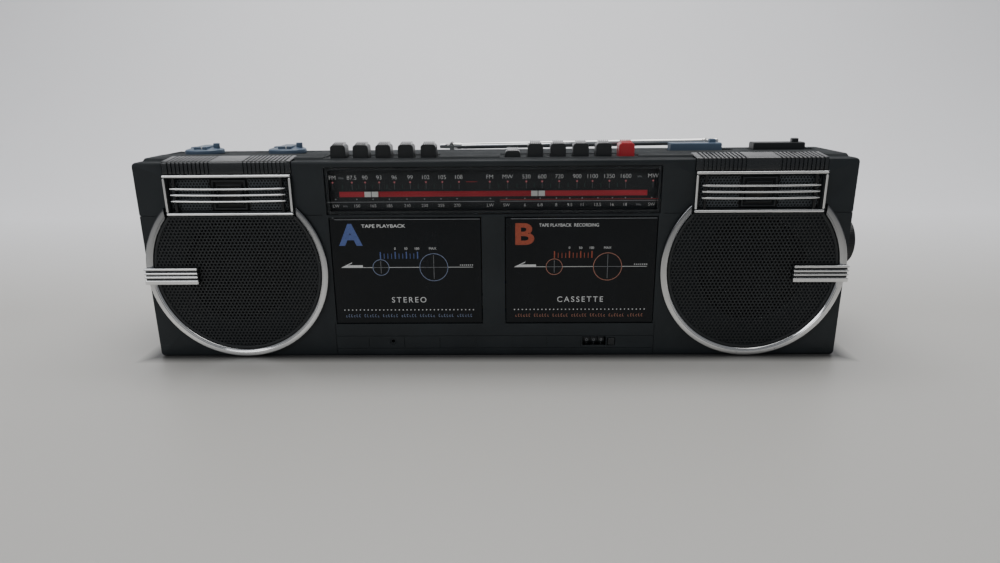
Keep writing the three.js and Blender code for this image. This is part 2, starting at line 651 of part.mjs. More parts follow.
// Chips are [x, z, width, height, depth] and capacitors are [x, z, radius, depth].
const chips = [
  [-90, 60, 34, 12, 7], [-40, 90, 22, 8, 4], [10, 50, 26, 26, 9], [60, 84, 20, 20, 6], [92, 50, 12, 30, 8],
];
const capacitors = [[-60, 40, 6, 18], [-20, 36, 5, 14], [40, 104, 5, 12], [80, 108, 4, 10]];

function circuitBoard() {
  const parts = [block(-118, 118, -8, -6.4, 22, 118)];
  for (const [x, z, w, h, d] of chips) {
    parts.push(block(x - w / 2, x + w / 2, -6.6, -6.4 + d, z - h / 2, z + h / 2));
  }
  for (const [x, z, r, d] of capacitors) parts.push(rod("y", -6.6, -6.4 + d, x, z, r, 14));
  return joined(...parts);
}
place("main_circuit_board", circuitBoard(), board);

function transformer() {
  const core = joined(block(-26, 26, -20, 20, 0, 44), block(-34, 34, -8, 8, 0, 3));
  const windows = [block(-16, -9, -25, 25, 9, 35), block(9, 16, -25, 25, 9, 35)];
  return without(core, ...windows).add(block(-17, 17, -24, 24, 10, 34));
}
place("power_transformer", transformer(), steel, product, [-180, 26, body.wall + GAP]);

// ---------------------------------------------------------------- tape counter

// Three digit wheels on one shaft, turning together.
function digitWheels() {
  const { x0, x1, radius: r } = counter;
  const nicks = [1, 2].flatMap((i) => {
    const x = x0 + (i * (x1 - x0)) / 3;
    return [[r, x - 0.3], [r - 0.8, x - 0.3], [r - 0.8, x + 0.3], [r, x + 0.3]];
  });
  const shaftLeft = [[0, x0 - 2], [1.5, x0 - 2], [1.5, x0]];
  const shaftRight = [[1.5, x1], [1.5, x1 + 1.4], [0, x1 + 1.4]];
  return turned("x", [...shaftLeft, [r, x0], ...nicks, [r, x1], ...shaftRight], 0, 0, 16);
}
place("tape_counter", digitWheels(), keyPlastic, product, [0, counter.y, counter.z]);

const resetFace = block(reset.x0, reset.x1, -65.9, -55, reset.z0, reset.z1);
place("counter_reset_button", resetFace, keyPlastic);

export default product;
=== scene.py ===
"""Looks for the twin-deck radio cassette player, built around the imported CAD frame.

Lengths in the shape code are millimetres in the CAD frame: +X right, +Y to the back, +Z up.
"""

import math

import bmesh
import bpy
from mathutils import Matrix, Vector


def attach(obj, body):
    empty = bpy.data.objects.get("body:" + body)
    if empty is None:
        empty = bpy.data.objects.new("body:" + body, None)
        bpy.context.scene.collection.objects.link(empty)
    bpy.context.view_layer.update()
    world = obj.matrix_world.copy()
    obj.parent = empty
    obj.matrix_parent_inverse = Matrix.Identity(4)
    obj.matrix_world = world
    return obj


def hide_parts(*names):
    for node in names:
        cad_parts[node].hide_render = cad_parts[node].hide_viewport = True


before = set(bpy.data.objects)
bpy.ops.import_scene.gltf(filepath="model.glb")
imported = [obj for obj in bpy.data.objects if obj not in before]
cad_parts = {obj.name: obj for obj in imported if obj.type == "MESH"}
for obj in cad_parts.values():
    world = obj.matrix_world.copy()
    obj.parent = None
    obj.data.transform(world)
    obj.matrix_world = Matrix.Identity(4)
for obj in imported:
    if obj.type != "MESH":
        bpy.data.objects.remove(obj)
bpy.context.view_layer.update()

MM = 0.001
FRONT, BACK, SPLIT = -65.0, 65.0, -30.0
HALF_WIDTH, LEDGE, TOP, TOP_HALF = 280.0, 161.0, 163.5, 274.5
SPEAKER_X, SPEAKER_Z = 206.2, 74.4
DECK_X, HINGE_Y, HINGE_Z = 69.6, -63.5, 29.8
SIDES = (("left", -1), ("right", 1))
KEY_NAMES = ("pause", "stop", "forward", "rewind", "play")
KEY_ROW = [(f"deck_a_{n}_key", -121.7 + 17.8 * i) for i, n in enumerate(KEY_NAMES)]
KEY_ROW += [(f"deck_b_{n}_key", 15.7 + 17.8 * i) for i, n in enumerate((*KEY_NAMES, "record"))]
KNOB_Y, KNOBS = -9.0, (("volume_knob", -246.0), ("tone_knob", -175.3))
SLIDER_Y, SLIDERS = -17.0, (("band_slider", 166.4), ("function_slider", 234.1))
TUNING_Y, TUNING_Z = -37.0, 90.5

MAST = (-37.2, 13.0, 165.3)  # the pin that the antenna turns about

# ---------------------------------------------------------------- camera

EYE = (0.01432, -0.58331, 0.21661)
PITCH, YAW, ROLL, LENS = 16.400, 1.0233, -0.5312, 24.094


def add_camera():
    data = bpy.data.cameras.new("camera")
    data.lens, data.sensor_width, data.sensor_fit = LENS, 36.0, "HORIZONTAL"
    data.clip_start = 0.01
    camera = bpy.data.objects.new("camera", data)
    bpy.context.scene.collection.objects.link(camera)
    turn = Matrix.Rotation(math.radians(YAW), 4, "Z")
    turn = turn @ Matrix.Rotation(math.radians(90 - PITCH), 4, "X")
    turn = turn @ Matrix.Rotation(math.radians(ROLL), 4, "Z")
    camera.matrix_world = Matrix.Translation(EYE) @ turn
    bpy.context.scene.camera = camera


add_camera()

# ---------------------------------------------------------------- materials


class Paint:
    """A material's node tree, with short calls for the nodes it is made from."""

    def __init__(self, name):
        self.material = bpy.data.materials.new(name)
        self.material.use_nodes = True
        self.nodes = self.material.node_tree.nodes
        self.links = self.material.node_tree.links
        self.shader = self.nodes["Principled BSDF"]
        self.coords = self.nodes.new("ShaderNodeTexCoord").outputs["Object"]

    def node(self, kind, inputs=(), **settings):
        made = self.nodes.new("ShaderNode" + kind)
        for key, value in settings.items():
            setattr(made, key, value)
        for key, value in dict(inputs).items():
            self.put(value, made.inputs[key])
        return made

    def put(self, value, socket):
        if isinstance(value, bpy.types.NodeSocket):
            self.links.new(value, socket)
        else:
            socket.default_value = value

    def set(self, **inputs):
        for key, value in inputs.items():
            self.put(value, self.shader.inputs[key.replace("_", " ")])
        return self

    def noise(self, per_metre, detail=3.0, stretch=(1, 1, 1), roughness=0.5):
        where = self.node("Mapping", {"Vector": self.coords, "Scale": stretch}).outputs[0]
        inputs = {"Vector": where, "Scale": per_metre, "Detail": detail, "Roughness": roughness}
        return self.node("TexNoise", inputs).outputs["Fac"]

    def span(self, value, low, high, to_low, to_high):
        inputs = {"Value": value, "From Min": low, "From Max": high, "To Min": to_low, "To Max": to_high}
        return self.node("MapRange", inputs).outputs["Result"]

    def math(self, operation, a, b):
        return self.node("Math", {0: a, 1: b}, operation=operation).outputs[0]

    def mix(self, factor, a, b):
        made = self.node("Mix", data_type="RGBA")
        self.put(factor, made.inputs["Factor"])
        self.put(a, made.inputs["A"])
        self.put(b, made.inputs["B"])
        return made.outputs["Result"]

    def bump(self, height, strength, distance, below=None):
        inputs = {"Height": height, "Strength": strength, "Distance": distance}
        if below:
            inputs["Normal"] = below
        return self.node("Bump", inputs).outputs["Normal"]

    def facing_up(self):
        normal = self.node("NewGeometry").outputs["Normal"]
        return self.node("SeparateXYZ", {"Vector": normal}).outputs["Z"]


def shade(color, share):
    return (*(c * share for c in color), 1.0)


def plastic(name, color, rough=(0.38, 0.5), grain=0.25, grain_size=0.45, dust=0.0, sheen_patches=0.12,
            dull_top=0.0, index=1.5, coat=0.0):
    """Moulded plastic: a fine grain, uneven gloss from handling, and dust on what faces up."""
    p = Paint(name)
    cloud = p.noise(28, 4)
    fine = p.noise(1000 / grain_size, 2)
    tone = p.mix(p.span(cloud, 0.35, 0.65, 0, 1), shade(color, 1 - sheen_patches), shade(color, 1 + sheen_patches))
    speck = p.span(fine, 0.62, 0.75, 0, 0.25)
    tone = p.mix(speck, tone, shade(color, 1.5))
    if dust:
        up = p.span(p.facing_up(), 0.75, 1.0, 0, dust)
        patches = p.span(p.noise(60, 6, roughness=0.7), 0.35, 0.7, 0.25, 1)
        tone = p.mix(p.math("MULTIPLY", up, patches), tone, (0.16, 0.155, 0.15, 1))
    smears = p.noise(45, 5, (1, 1, 0.4), 0.6)
    low = p.bump(p.noise(160, 2), 0.06, 0.0004)
    normal = p.bump(fine, grain, 0.00008, low)
    gloss = p.span(smears, 0.3, 0.7, *rough)
    if dull_top:
        gloss = p.math("ADD", gloss, p.span(p.facing_up(), 0.8, 1.0, 0, dull_top))
    p.set(Base_Color=tone, Roughness=gloss, IOR=index, Normal=normal)
    return p.set(Coat_Weight=coat, Coat_Roughness=0.16, Coat_IOR=1.5).material


def chrome(name, pits=0.0, rough=0.07, painted_reflection_above=None):
    """Bright plating: faint ripples, hazy patches, pitting low down where it has begun to lift, and optionally a
    painted dark reflection that darkens it towards the top.
    """
    p = Paint(name)
    haze = p.noise(35, 4)
    fine = p.noise(900, 3)
    color = p.mix(p.span(haze, 0.35, 0.7, 0, 1), (0.82, 0.82, 0.81, 1), (0.7, 0.71, 0.72, 1))
    # Painted reflection: between the given heights the plating is darkened, standing in for the darker surroundings its
    # upper part reflects.
    if painted_reflection_above:
        height = p.node("SeparateXYZ", {"Vector": p.coords}).outputs["Z"]
        painted_dark_reflection = p.span(height, *painted_reflection_above, 0, 0.85)
        color = p.mix(painted_dark_reflection, color, (0.13, 0.135, 0.145, 1))
    roughness = p.span(haze, 0.3, 0.7, rough * 0.6, rough * 1.6)
    metal = 1.0
    height = fine
    if pits:
        spots = p.noise(420, 4, roughness=0.7)
        patch = p.noise(55, 3)
        low = p.node("SeparateXYZ", {"Vector": p.coords}).outputs["Z"]
        where = p.math("MULTIPLY", p.span(low, 0.012, 0.03, 1, 0.1), p.span(patch, 0.5, 0.62, 0, 1))
        pit = p.math("MULTIPLY", p.span(spots, 0.6, 0.66, 0, pits), where)
        color = p.mix(pit, color, (0.05, 0.045, 0.04, 1))
        roughness = p.math("ADD", roughness, p.math("MULTIPLY", pit, 0.5))
        metal = p.math("SUBTRACT", 1.0, pit)
        height = p.math("SUBTRACT", p.math("MULTIPLY", fine, 0.1), pit)
    normal = p.bump(height, 0.12, 0.00006)
    return p.set(Base_Color=color, Roughness=roughness, Metallic=metal, Normal=normal).material


def metal(name, color, rough=(0.25, 0.45), stretch=(1, 1, 1), grain=700):
    p = Paint(name)
    lines = p.noise(grain, 4, stretch)
    stain = p.noise(40, 5)
    tone = p.mix(p.span(stain, 0.4, 0.7, 0, 1), shade(color, 1), shade(color, 0.75))
    p.set(Base_Color=tone, Metallic=1.0, Roughness=p.span(lines, 0.3, 0.7, *rough))
    return p.set(Normal=p.bump(lines, 0.15, 0.00005)).material


def painted_grille(name):
    """Black paint on perforated steel, with fine paler specks."""
    p = Paint(name)
    cloud = p.noise(22, 4)
    fine = p.noise(1500, 2)
    tone = p.mix(p.span(cloud, 0.35, 0.65, 0, 1), (0.0080, 0.0102, 0.0115, 1), (0.0125, 0.0155, 0.0175, 1))
    tone = p.mix(p.span(fine, 0.64, 0.74, 0, 0.2), tone, (0.03, 0.034, 0.036, 1))
    p.set(Base_Color=tone, Roughness=p.span(cloud, 0.3, 0.7, 0.4, 0.55))
    return p.set(Normal=p.bump(fine, 0.3, 0.00005)).material


def gloss_panel(name, color=(0.0036, 0.0052, 0.0070)):
    """Polished smoked plastic with hairline scratches and finger smears."""
    p = Paint(name)
    smear = p.noise(30, 5, (1, 1, 0.5), 0.65)
    hair = p.noise(260, 3, (1, 1, 14), 0.7)
    cross = p.noise(240, 3, (16, 1, 1), 0.7)
    scratches = p.math("MAXIMUM", p.span(hair, 0.66, 0.72, 0, 1), p.span(cross, 0.68, 0.73, 0, 1))
    tone = p.mix(p.span(smear, 0.4, 0.7, 0, 1), shade(color, 0.85), shade(color, 1.25))
    tone = p.mix(p.math("MULTIPLY", scratches, 0.12), tone, (0.12, 0.12, 0.12, 1))
    base = p.span(smear, 0.35, 0.7, 0.05, 0.13)
    p.set(Base_Color=tone, Roughness=p.math("ADD", base, p.math("MULTIPLY", scratches, 0.1)), IOR=1.31)
    return p.set(Normal=p.bump(scratches, 0.05, 0.00003)).material


def clear_cover(name):
    """A clear glossy cover: most light goes straight through a slight tint, the rest is reflected."""
    p = Paint(name)
    smear = p.noise(35, 5, (1, 1, 0.6), 0.65)
    p.set(Base_Color=p.mix(smear, (0.02, 0.02, 0.022, 1), (0.05, 0.05, 0.05, 1)))
    p.set(Roughness=p.span(smear, 0.35, 0.7, 0.03, 0.09))
    p.set(Normal=p.bump(p.noise(200, 3), 0.02, 0.00003))
    through = p.node("BsdfTransparent", {"Color": (0.96, 0.965, 0.97, 1)}).outputs[0]
    edge = p.node("Fresnel", {"IOR": 1.49}).outputs[0]
    share = p.math("ADD", p.math("MULTIPLY", edge, 0.3), p.span(smear, 0.4, 0.75, 0.01, 0.035))
    blend = p.node("MixShader", {0: share, 1: through, 2: p.shader.outputs[0]}).outputs[0]
    p.links.new(blend, p.nodes["Material Output"].inputs["Surface"])
    return p.material


def ink(name, color, wear=0.35, rough=0.45):
    """Screen-printed ink, thin in places."""
    p = Paint(name)
    thin = p.noise(900, 4, roughness=0.7)
    tone = p.mix(p.span(thin, 0.45, 0.75, 0, wear), shade(color, 1), shade(color, 0.35))
    p.set(Base_Color=tone, Roughness=rough)
    return p.set(Normal=p.bump(thin, 0.1, 0.00002)).material


def floor_paint(name):
    """A smooth pale laminate that runs up into a pale wall, with a painted contact shadow around the object's
    footprint.
    """
    p = Paint(name)
    depth = p.node("SeparateXYZ", {"Vector": p.coords}).outputs["Y"]
    cloud = p.noise(2.2, 3)
    tone = p.mix(p.span(depth, 0.05, 0.55, 0, 1), (0.535, 0.525, 0.50, 1), (0.84, 0.84, 0.86, 1))
    tone = p.mix(p.span(cloud, 0.3, 0.7, 0, 0.05), tone, (0.50, 0.50, 0.49, 1))
    # Painted shadow: the floor is darkened within about 16 mm of the object's footprint, standing in for its contact
    # shadow.
    across = p.math("ABSOLUTE", p.node("SeparateXYZ", {"Vector": p.coords}).outputs["X"], 0.0)
    beside = p.math("SUBTRACT", across, 0.280)
    before = p.math("SUBTRACT", p.math("ABSOLUTE", depth, 0.0), 0.065)
    painted_shadow_distance = p.math("MAXIMUM", beside, before)
    tone = p.mix(p.span(painted_shadow_distance, 0.003, 0.016, 0.96, 0), tone, (0.05, 0.05, 0.05, 1))
    p.set(Base_Color=tone, Roughness=p.span(depth, 0.0, 0.4, 0.42, 0.9))
    return p.set(Normal=p.bump(p.noise(500, 2), 0.03, 0.0001)).material


BODY = plastic("body_plastic", (0.0185, 0.0225, 0.0252), (0.36, 0.5), 0.15, 0.5, dust=0.05, dull_top=0.45, index=1.36)
RIBS = plastic("rib_plastic", (0.0070, 0.0092, 0.0106), (0.17, 0.26), 0.1, 0.5, dust=0.1, index=1.75)
KEY = plastic("key_plastic", (0.010, 0.0122, 0.0136), (0.26, 0.4), 0.12, 0.6, dust=0.06)
PAD = plastic("ribbed_pad_plastic", (0.008, 0.0095, 0.0105), (0.14, 0.24), 0.08, 0.6, dust=0.05, coat=1.0)
RED = plastic("red_key_plastic", (0.50, 0.018, 0.03), (0.24, 0.38), 0.12, 0.6, dust=0.05)
BLUE = plastic("blue_control_plastic", (0.084, 0.128, 0.190), (0.34, 0.5), 0.2, 0.5, dust=0.1)
CREAM = plastic("pointer_plastic", (0.92, 0.91, 0.86), (0.35, 0.5), 0.1, 0.6)
PLATE = plastic("dial_plate_plastic", (0.0175, 0.0205, 0.0225), (0.4, 0.55), 0.15, 0.4)
GRILLE = painted_grille("grille_paint")
DOOR = gloss_panel("smoked_door")
COVER = clear_cover("dial_cover")
# The ring's plating is darkened towards its top by a painted reflection.
RING_CHROME = chrome("ring_chrome", pits=0.9, painted_reflection_above=(0.03, 0.13))
CHROME = chrome("bar_chrome")
TUBE_CHROME = chrome("antenna_chrome", rough=0.09)
STEEL = metal("zinc_steel", (0.50, 0.50, 0.52), stretch=(8, 1, 1))
BRASS = metal("turned_brass", (0.62, 0.45, 0.2))
CONE = plastic("pressed_paper", (0.02, 0.019, 0.018), (0.8, 0.95), 0.8, 1.2, dust=0.05)
BOARD = plastic("resin_board", (0.23, 0.16, 0.06), (0.55, 0.7), 0.4, 1.0)
RUBBER = plastic("belt_rubber", (0.012, 0.012, 0.012), (0.7, 0.85), 0.5, 0.8)
WHITE_INK = ink("white_ink", (0.72, 0.73, 0.72))
DIM_INK = ink("dim_white_ink", (0.26, 0.27, 0.28), 0.5)
RED_INK = ink("red_ink", (0.46, 0.03, 0.035), 0.3)
BLUE_INK = ink("blue_ink", (0.085, 0.135, 0.36), 0.6)
ORANGE_INK = ink("orange_ink", (0.40, 0.075, 0.035), 0.6)
GREEN_INK = ink("green_ink", (0.03, 0.085, 0.07), 0.5)
GREY_INK = ink("grey_ink", (0.13, 0.135, 0.14), 0.5)
PINK_INK = ink("pink_ink", (0.62, 0.16, 0.17), 0.3)
PALE_BLUE_INK = ink("pale_blue_ink", (0.24, 0.30, 0.46), 0.5)
PALE_ORANGE_INK = ink("pale_orange_ink", (0.52, 0.22, 0.15), 0.5)
TRACK_RED = plastic("track_plastic", (0.60, 0.042, 0.058), (0.3, 0.45), 0.1, 0.6)
HORN_PANEL = plastic("horn_panel_paint", (0.060, 0.070, 0.077), (0.4, 0.55), 0.2, 0.5)
DARK = plastic("inner_black_plastic", (0.004, 0.0045, 0.005), (0.5, 0.65), 0.2, 0.5)

# ---------------------------------------------------------------- shapes


def box(bm, x0, x1, y0, y1, z0, z1):
    size = Matrix.Diagonal((x1 - x0, y1 - y0, z1 - z0, 1))
    middle = Matrix.Translation(((x0 + x1) / 2, (y0 + y1) / 2, (z0 + z1) / 2))
    bmesh.ops.create_cube(bm, size=1, matrix=middle @ size)


def boxes(*all_limits):
    bm = bmesh.new()
    for limits in all_limits:
        box(bm, *limits)
    return bm


def loft(bm, loops, close_ends=True, closed_way=False):
    """Faces between loops of the same number of points, each loop closed on itself."""
    rows = [[bm.verts.new(p) for p in loop] for loop in loops]
    count = len(rows[0])
    pairs = list(zip(rows, rows[1:]))
    if closed_way:
        pairs.append((rows[-1], rows[0]))
    for a, b in pairs:
        for i in range(count):
            j = (i + 1) % count
            bm.faces.new((a[i], a[j], b[j], b[i]))
    if close_ends and not closed_way:
        bm.faces.new(rows[0][::-1])
        bm.faces.new(rows[-1])


def prism(bm, points, low, high, axis):
    """An outline given depth along one axis. Points are the other two coordinates in X, Y, Z order."""
    order = {"x": lambda p, d: (d, *p), "y": lambda p, d: (p[0], d, p[1]), "z": lambda p, d: (*p, d)}[axis]
    loft(bm, [[order(p, d) for p in points] for d in (low, high)])


def arc(cx, cy, radius, start, end, steps):
    """Points on an arc, in degrees, from start to end."""
    angles = [math.radians(start + (end - start) * i / steps) for i in range(steps + 1)]
    return [(cx + radius * math.cos(a), cy + radius * math.sin(a)) for a in angles]


def rounded(x0, x1, z0, z1, radius, steps=6):
    corners = ((x1, z0, -90), (x1, z1, 0), (x0, z1, 90), (x0, z0, 180))
    points = []
    for x, z, start in corners:
        cx = x - radius if x == x1 else x + radius
        cz = z + radius if z == z0 else z - radius
        points += arc(cx, cz, radius, start, start + 90, steps)
    return points


def turned(bm, profile, axis, a, b, steps=48, limit=None):
    """A turned piece from [radius, distance] points. limit cuts a gap at the top: its half width."""
    place = {
        "x": lambda d, u, v: (d, a + u, b + v),
        "y": lambda d, u, v: (a + u, d, b + v),
        "z": lambda d, u, v: (a + u, b + v, d),
    }[axis]
    loops = []
    for i in range(steps + (1 if limit else 0)):
        loop = []
        for r, d in profile:
            first = math.asin(min(1, limit / r)) if limit else 0
            angle = first + (2 * math.pi - 2 * first) * i / steps
            loop.append(place(d, r * math.sin(angle), r * math.cos(angle)))
        loops.append(loop)
    if limit:
        loft(bm, loops)
        return
    rows = [[bm.verts.new(p) for p in loop] for loop in loops]
    for i, row in enumerate(rows):
        after = rows[(i + 1) % steps]
        for j in range(len(profile) - 1):
            bm.faces.new((row[j], row[j + 1], after[j + 1], after[j]))
    if profile[0][0] == profile[-1][0] and profile[0][1] == profile[-1][1]:
        return
    bmesh.ops.remove_doubles(bm, verts=[v for row in rows for v in row if v.is_valid], dist=1e-5)


def round_corner(points, radius, steps=3):
    """An open profile with each inner corner rounded, where its sides are long enough."""
    out = [points[0]]
    for before, here, after in zip(points, points[1:], points[2:]):
        p, q, r = Vector(before), Vector(here), Vector(after)
        reach = min(radius, (p - q).length * 0.45, (r - q).length * 0.45)
        start, end = q + (p - q).normalized() * reach, q + (r - q).normalized() * reach
        for i in range(steps + 1):
            t = i / steps
            out.append(tuple(start * (1 - t) ** 2 + q * 2 * t * (1 - t) + end * t * t))
    return [*out, points[-1]]


def mesh_of(bm, name):
    bmesh.ops.recalc_face_normals(bm, faces=bm.faces)
    mesh = bpy.data.meshes.new(name)
    bm.to_mesh(mesh)
    bm.free()
    return mesh


def solved(a, b, operation):
    """The boolean of two closed bmeshes, as a new bmesh."""
    objects = []
    for bm in (a, b):
        made = bpy.data.objects.new("solver", mesh_of(bm, "solver"))
        bpy.context.scene.collection.objects.link(made)
        objects.append(made)
    modifier = objects[0].modifiers.new("solve", "BOOLEAN")
    modifier.operation, modifier.object, modifier.solver = operation, objects[1], "EXACT"
    bpy.context.view_layer.update()
    result = objects[0].evaluated_get(bpy.context.evaluated_depsgraph_get())
    out = bmesh.new()
    out.from_mesh(result.to_mesh())
    for made in objects:
        mesh = made.data
        bpy.data.objects.remove(made)
        bpy.data.meshes.remove(mesh)
    return out


def cut(bm, *cutters):
    for cutter in cutters:
        bm = solved(bm, cutter, "DIFFERENCE")
    return bm


def hole(axis, low, high, a, b, radius, steps=32):
    bm = bmesh.new()
    points = arc(a, b, radius, 0, 360 - 360 / steps, steps - 1)
    prism(bm, points, low, high, axis)
    return bm


def piece(name, bm, paint, body, nodes=(), bevel=0.0, segments=2, angle=35, position=None):
    """A finished object: bevelled, smoothly shaded, riding on its body."""
    if position:
        bmesh.ops.translate(bm, verts=bm.verts, vec=position)
    bmesh.ops.scale(bm, verts=bm.verts, vec=(MM, MM, MM))
    mesh = mesh_of(bm, name)
    obj = bpy.data.objects.new(name, mesh)
    bpy.context.scene.collection.objects.link(obj)
    mesh.materials.append(paint)
    for face in mesh.polygons:
        face.use_smooth = True
    mesh.set_sharp_from_angle(angle=math.radians(angle))
    if bevel:
        m = obj.modifiers.new("bevel", "BEVEL")
        m.width, m.segments, m.limit_method = bevel * MM, segments, "ANGLE"
        m.angle_limit, m.use_clamp_overlap = math.radians(38), False
        m.harden_normals = False
        n = obj.modifiers.new("normals", "WEIGHTED_NORMAL")
        n.keep_sharp = True
    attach(obj, body)
    if nodes:
        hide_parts(*nodes)
    return obj


def bevelled(bm, width, segments=2, angle=38):
    """The bmesh with its sharp edges bevelled, for shapes that are cut again afterwards."""
    sharp = [e for e in bm.edges if len(e.link_faces) == 2 and e.calc_face_angle(0) > math.radians(angle)]
    bmesh.ops.bevel(bm, geom=sharp, offset=width, segments=segments, profile=0.5, affect="EDGES", clamp_overlap=False)
    return bm


# ---------------------------------------------------------------- print


def letters(bm, words, x, z, height, y, width=None, bold=0.0, spacing=1.0, slant=0.0, thick=0.05):
    """Words standing on the face at depth y, centred on x and z, with capitals of this height."""
    data = bpy.data.curves.new("words", "FONT")
    data.body, data.extrude, data.offset, data.space_character, data.shear = words, 0.01, bold, spacing, slant
    holder = bpy.data.objects.new("words", data)
    bpy.context.scene.collection.objects.link(holder)
    bpy.context.view_layer.update()
    mesh = bpy.data.meshes.new_from_object(holder.evaluated_get(bpy.context.evaluated_depsgraph_get()))
    xs, ys, zs = zip(*(v.co for v in mesh.vertices))
    tall = height / (max(ys) - min(ys))
    wide = width / (max(xs) - min(xs)) if width else tall
    deep = thick / (max(zs) - min(zs))
    for v in mesh.vertices:
        px = x + (v.co.x - (max(xs) + min(xs)) / 2) * wide
        pz = z + (v.co.y - (max(ys) + min(ys)) / 2) * tall
        v.co = (px, y - (v.co.z - min(zs)) * deep, pz)
    bm.from_mesh(mesh)
    bpy.data.objects.remove(holder)
    bpy.data.curves.remove(data)
    bpy.data.meshes.remove(mesh)


class Prints:
    """Printed marks on one face, gathered by ink."""

    def __init__(self, y, thick=0.05):
        self.y, self.thick, self.inks = y, thick, {}

    def bm(self, key):
        return self.inks.setdefault(key, bmesh.new())

    def bar(self, key, x0, x1, z0, z1):
        box(self.bm(key), x0, x1, self.y - self.thick, self.y, z0, z1)

    def shape(self, key, points):
        prism(self.bm(key), points, self.y - self.thick, self.y, "y")

    def circle(self, key, x, z, radius, line):
        outer, inner, y0, y1 = radius + line / 2, radius - line / 2, self.y - self.thick, self.y
        profile = [(inner, y0), (outer, y0), (outer, y1), (inner, y1), (inner, y0)]
        turned(self.bm(key), profile, "y", x, z, 56)

    def diamond(self, key, x, z, size):
        self.shape(key, [(x - size, z), (x, z - size * 1.25), (x + size, z), (x, z + size * 0.9)])

    def words(self, key, words, x, z, height, **options):
        letters(self.bm(key), words, x, z, height, self.y, thick=self.thick, **options)

    def finish(self, name, body, inks):
        for key, bm in self.inks.items():
            paint, slot = inks[key]
            piece(f"{name}_{key}_print", bm, paint, body)


INKS = {
    "white": (WHITE_INK, "white_plastic"), "dim": (DIM_INK, "white_plastic"), "red": (RED_INK, "red_plastic"),
    "blue": (BLUE_INK, "blue_plastic"), "orange": (ORANGE_INK, "red_plastic"), "green": (GREEN_INK, "key_plastic"),
    "grey": (GREY_INK, "white_plastic"), "pink": (PINK_INK, "red_plastic"),
    "pale_blue": (PALE_BLUE_INK, "blue_plastic"), "pale_orange": (PALE_ORANGE_INK, "red_plastic"),
}

# ---------------------------------------------------------------- cabinet


def outline_block(y0, y1):
    """The rounded front view of the cabinet, with its raised top, between two depths."""
    bm = bmesh.new()
    points = arc(HALF_WIDTH - 3.5, 3.5, 3.5, -90, 0, 5) + arc(HALF_WIDTH - 3.5, LEDGE - 3.5, 3.5, 0, 90, 6)
    points += [(TOP_HALF + 0.9, LEDGE)] + arc(TOP_HALF - 1.2, TOP - 1.2, 1.2, 20, 90, 4)
    left = [(-x, z) for x, z in points[::-1]]
    prism(bm, points + left, y0, y1, "y")
    return bm


def profiled(y0, y1, profile):
    side = bmesh.new()
    prism(side, profile, -HALF_WIDTH - 5, HALF_WIDTH + 5, "x")
    return solved(outline_block(y0, y1), side, "INTERSECT")


STRIP_BACK = -45.5


def strip_profile(inset):
    back = STRIP_BACK + inset
    return [
        (-66 - inset, 151.8 - inset), (-66 - inset, 160.6), (-65.1, 161.9 + inset), (back, 164.2 + inset),
        (back, 162.2 - inset), (-62.6 + inset, 160.2 - inset), (-64 + inset, 158.6), (-64 + inset, 151.8 - inset),
    ]


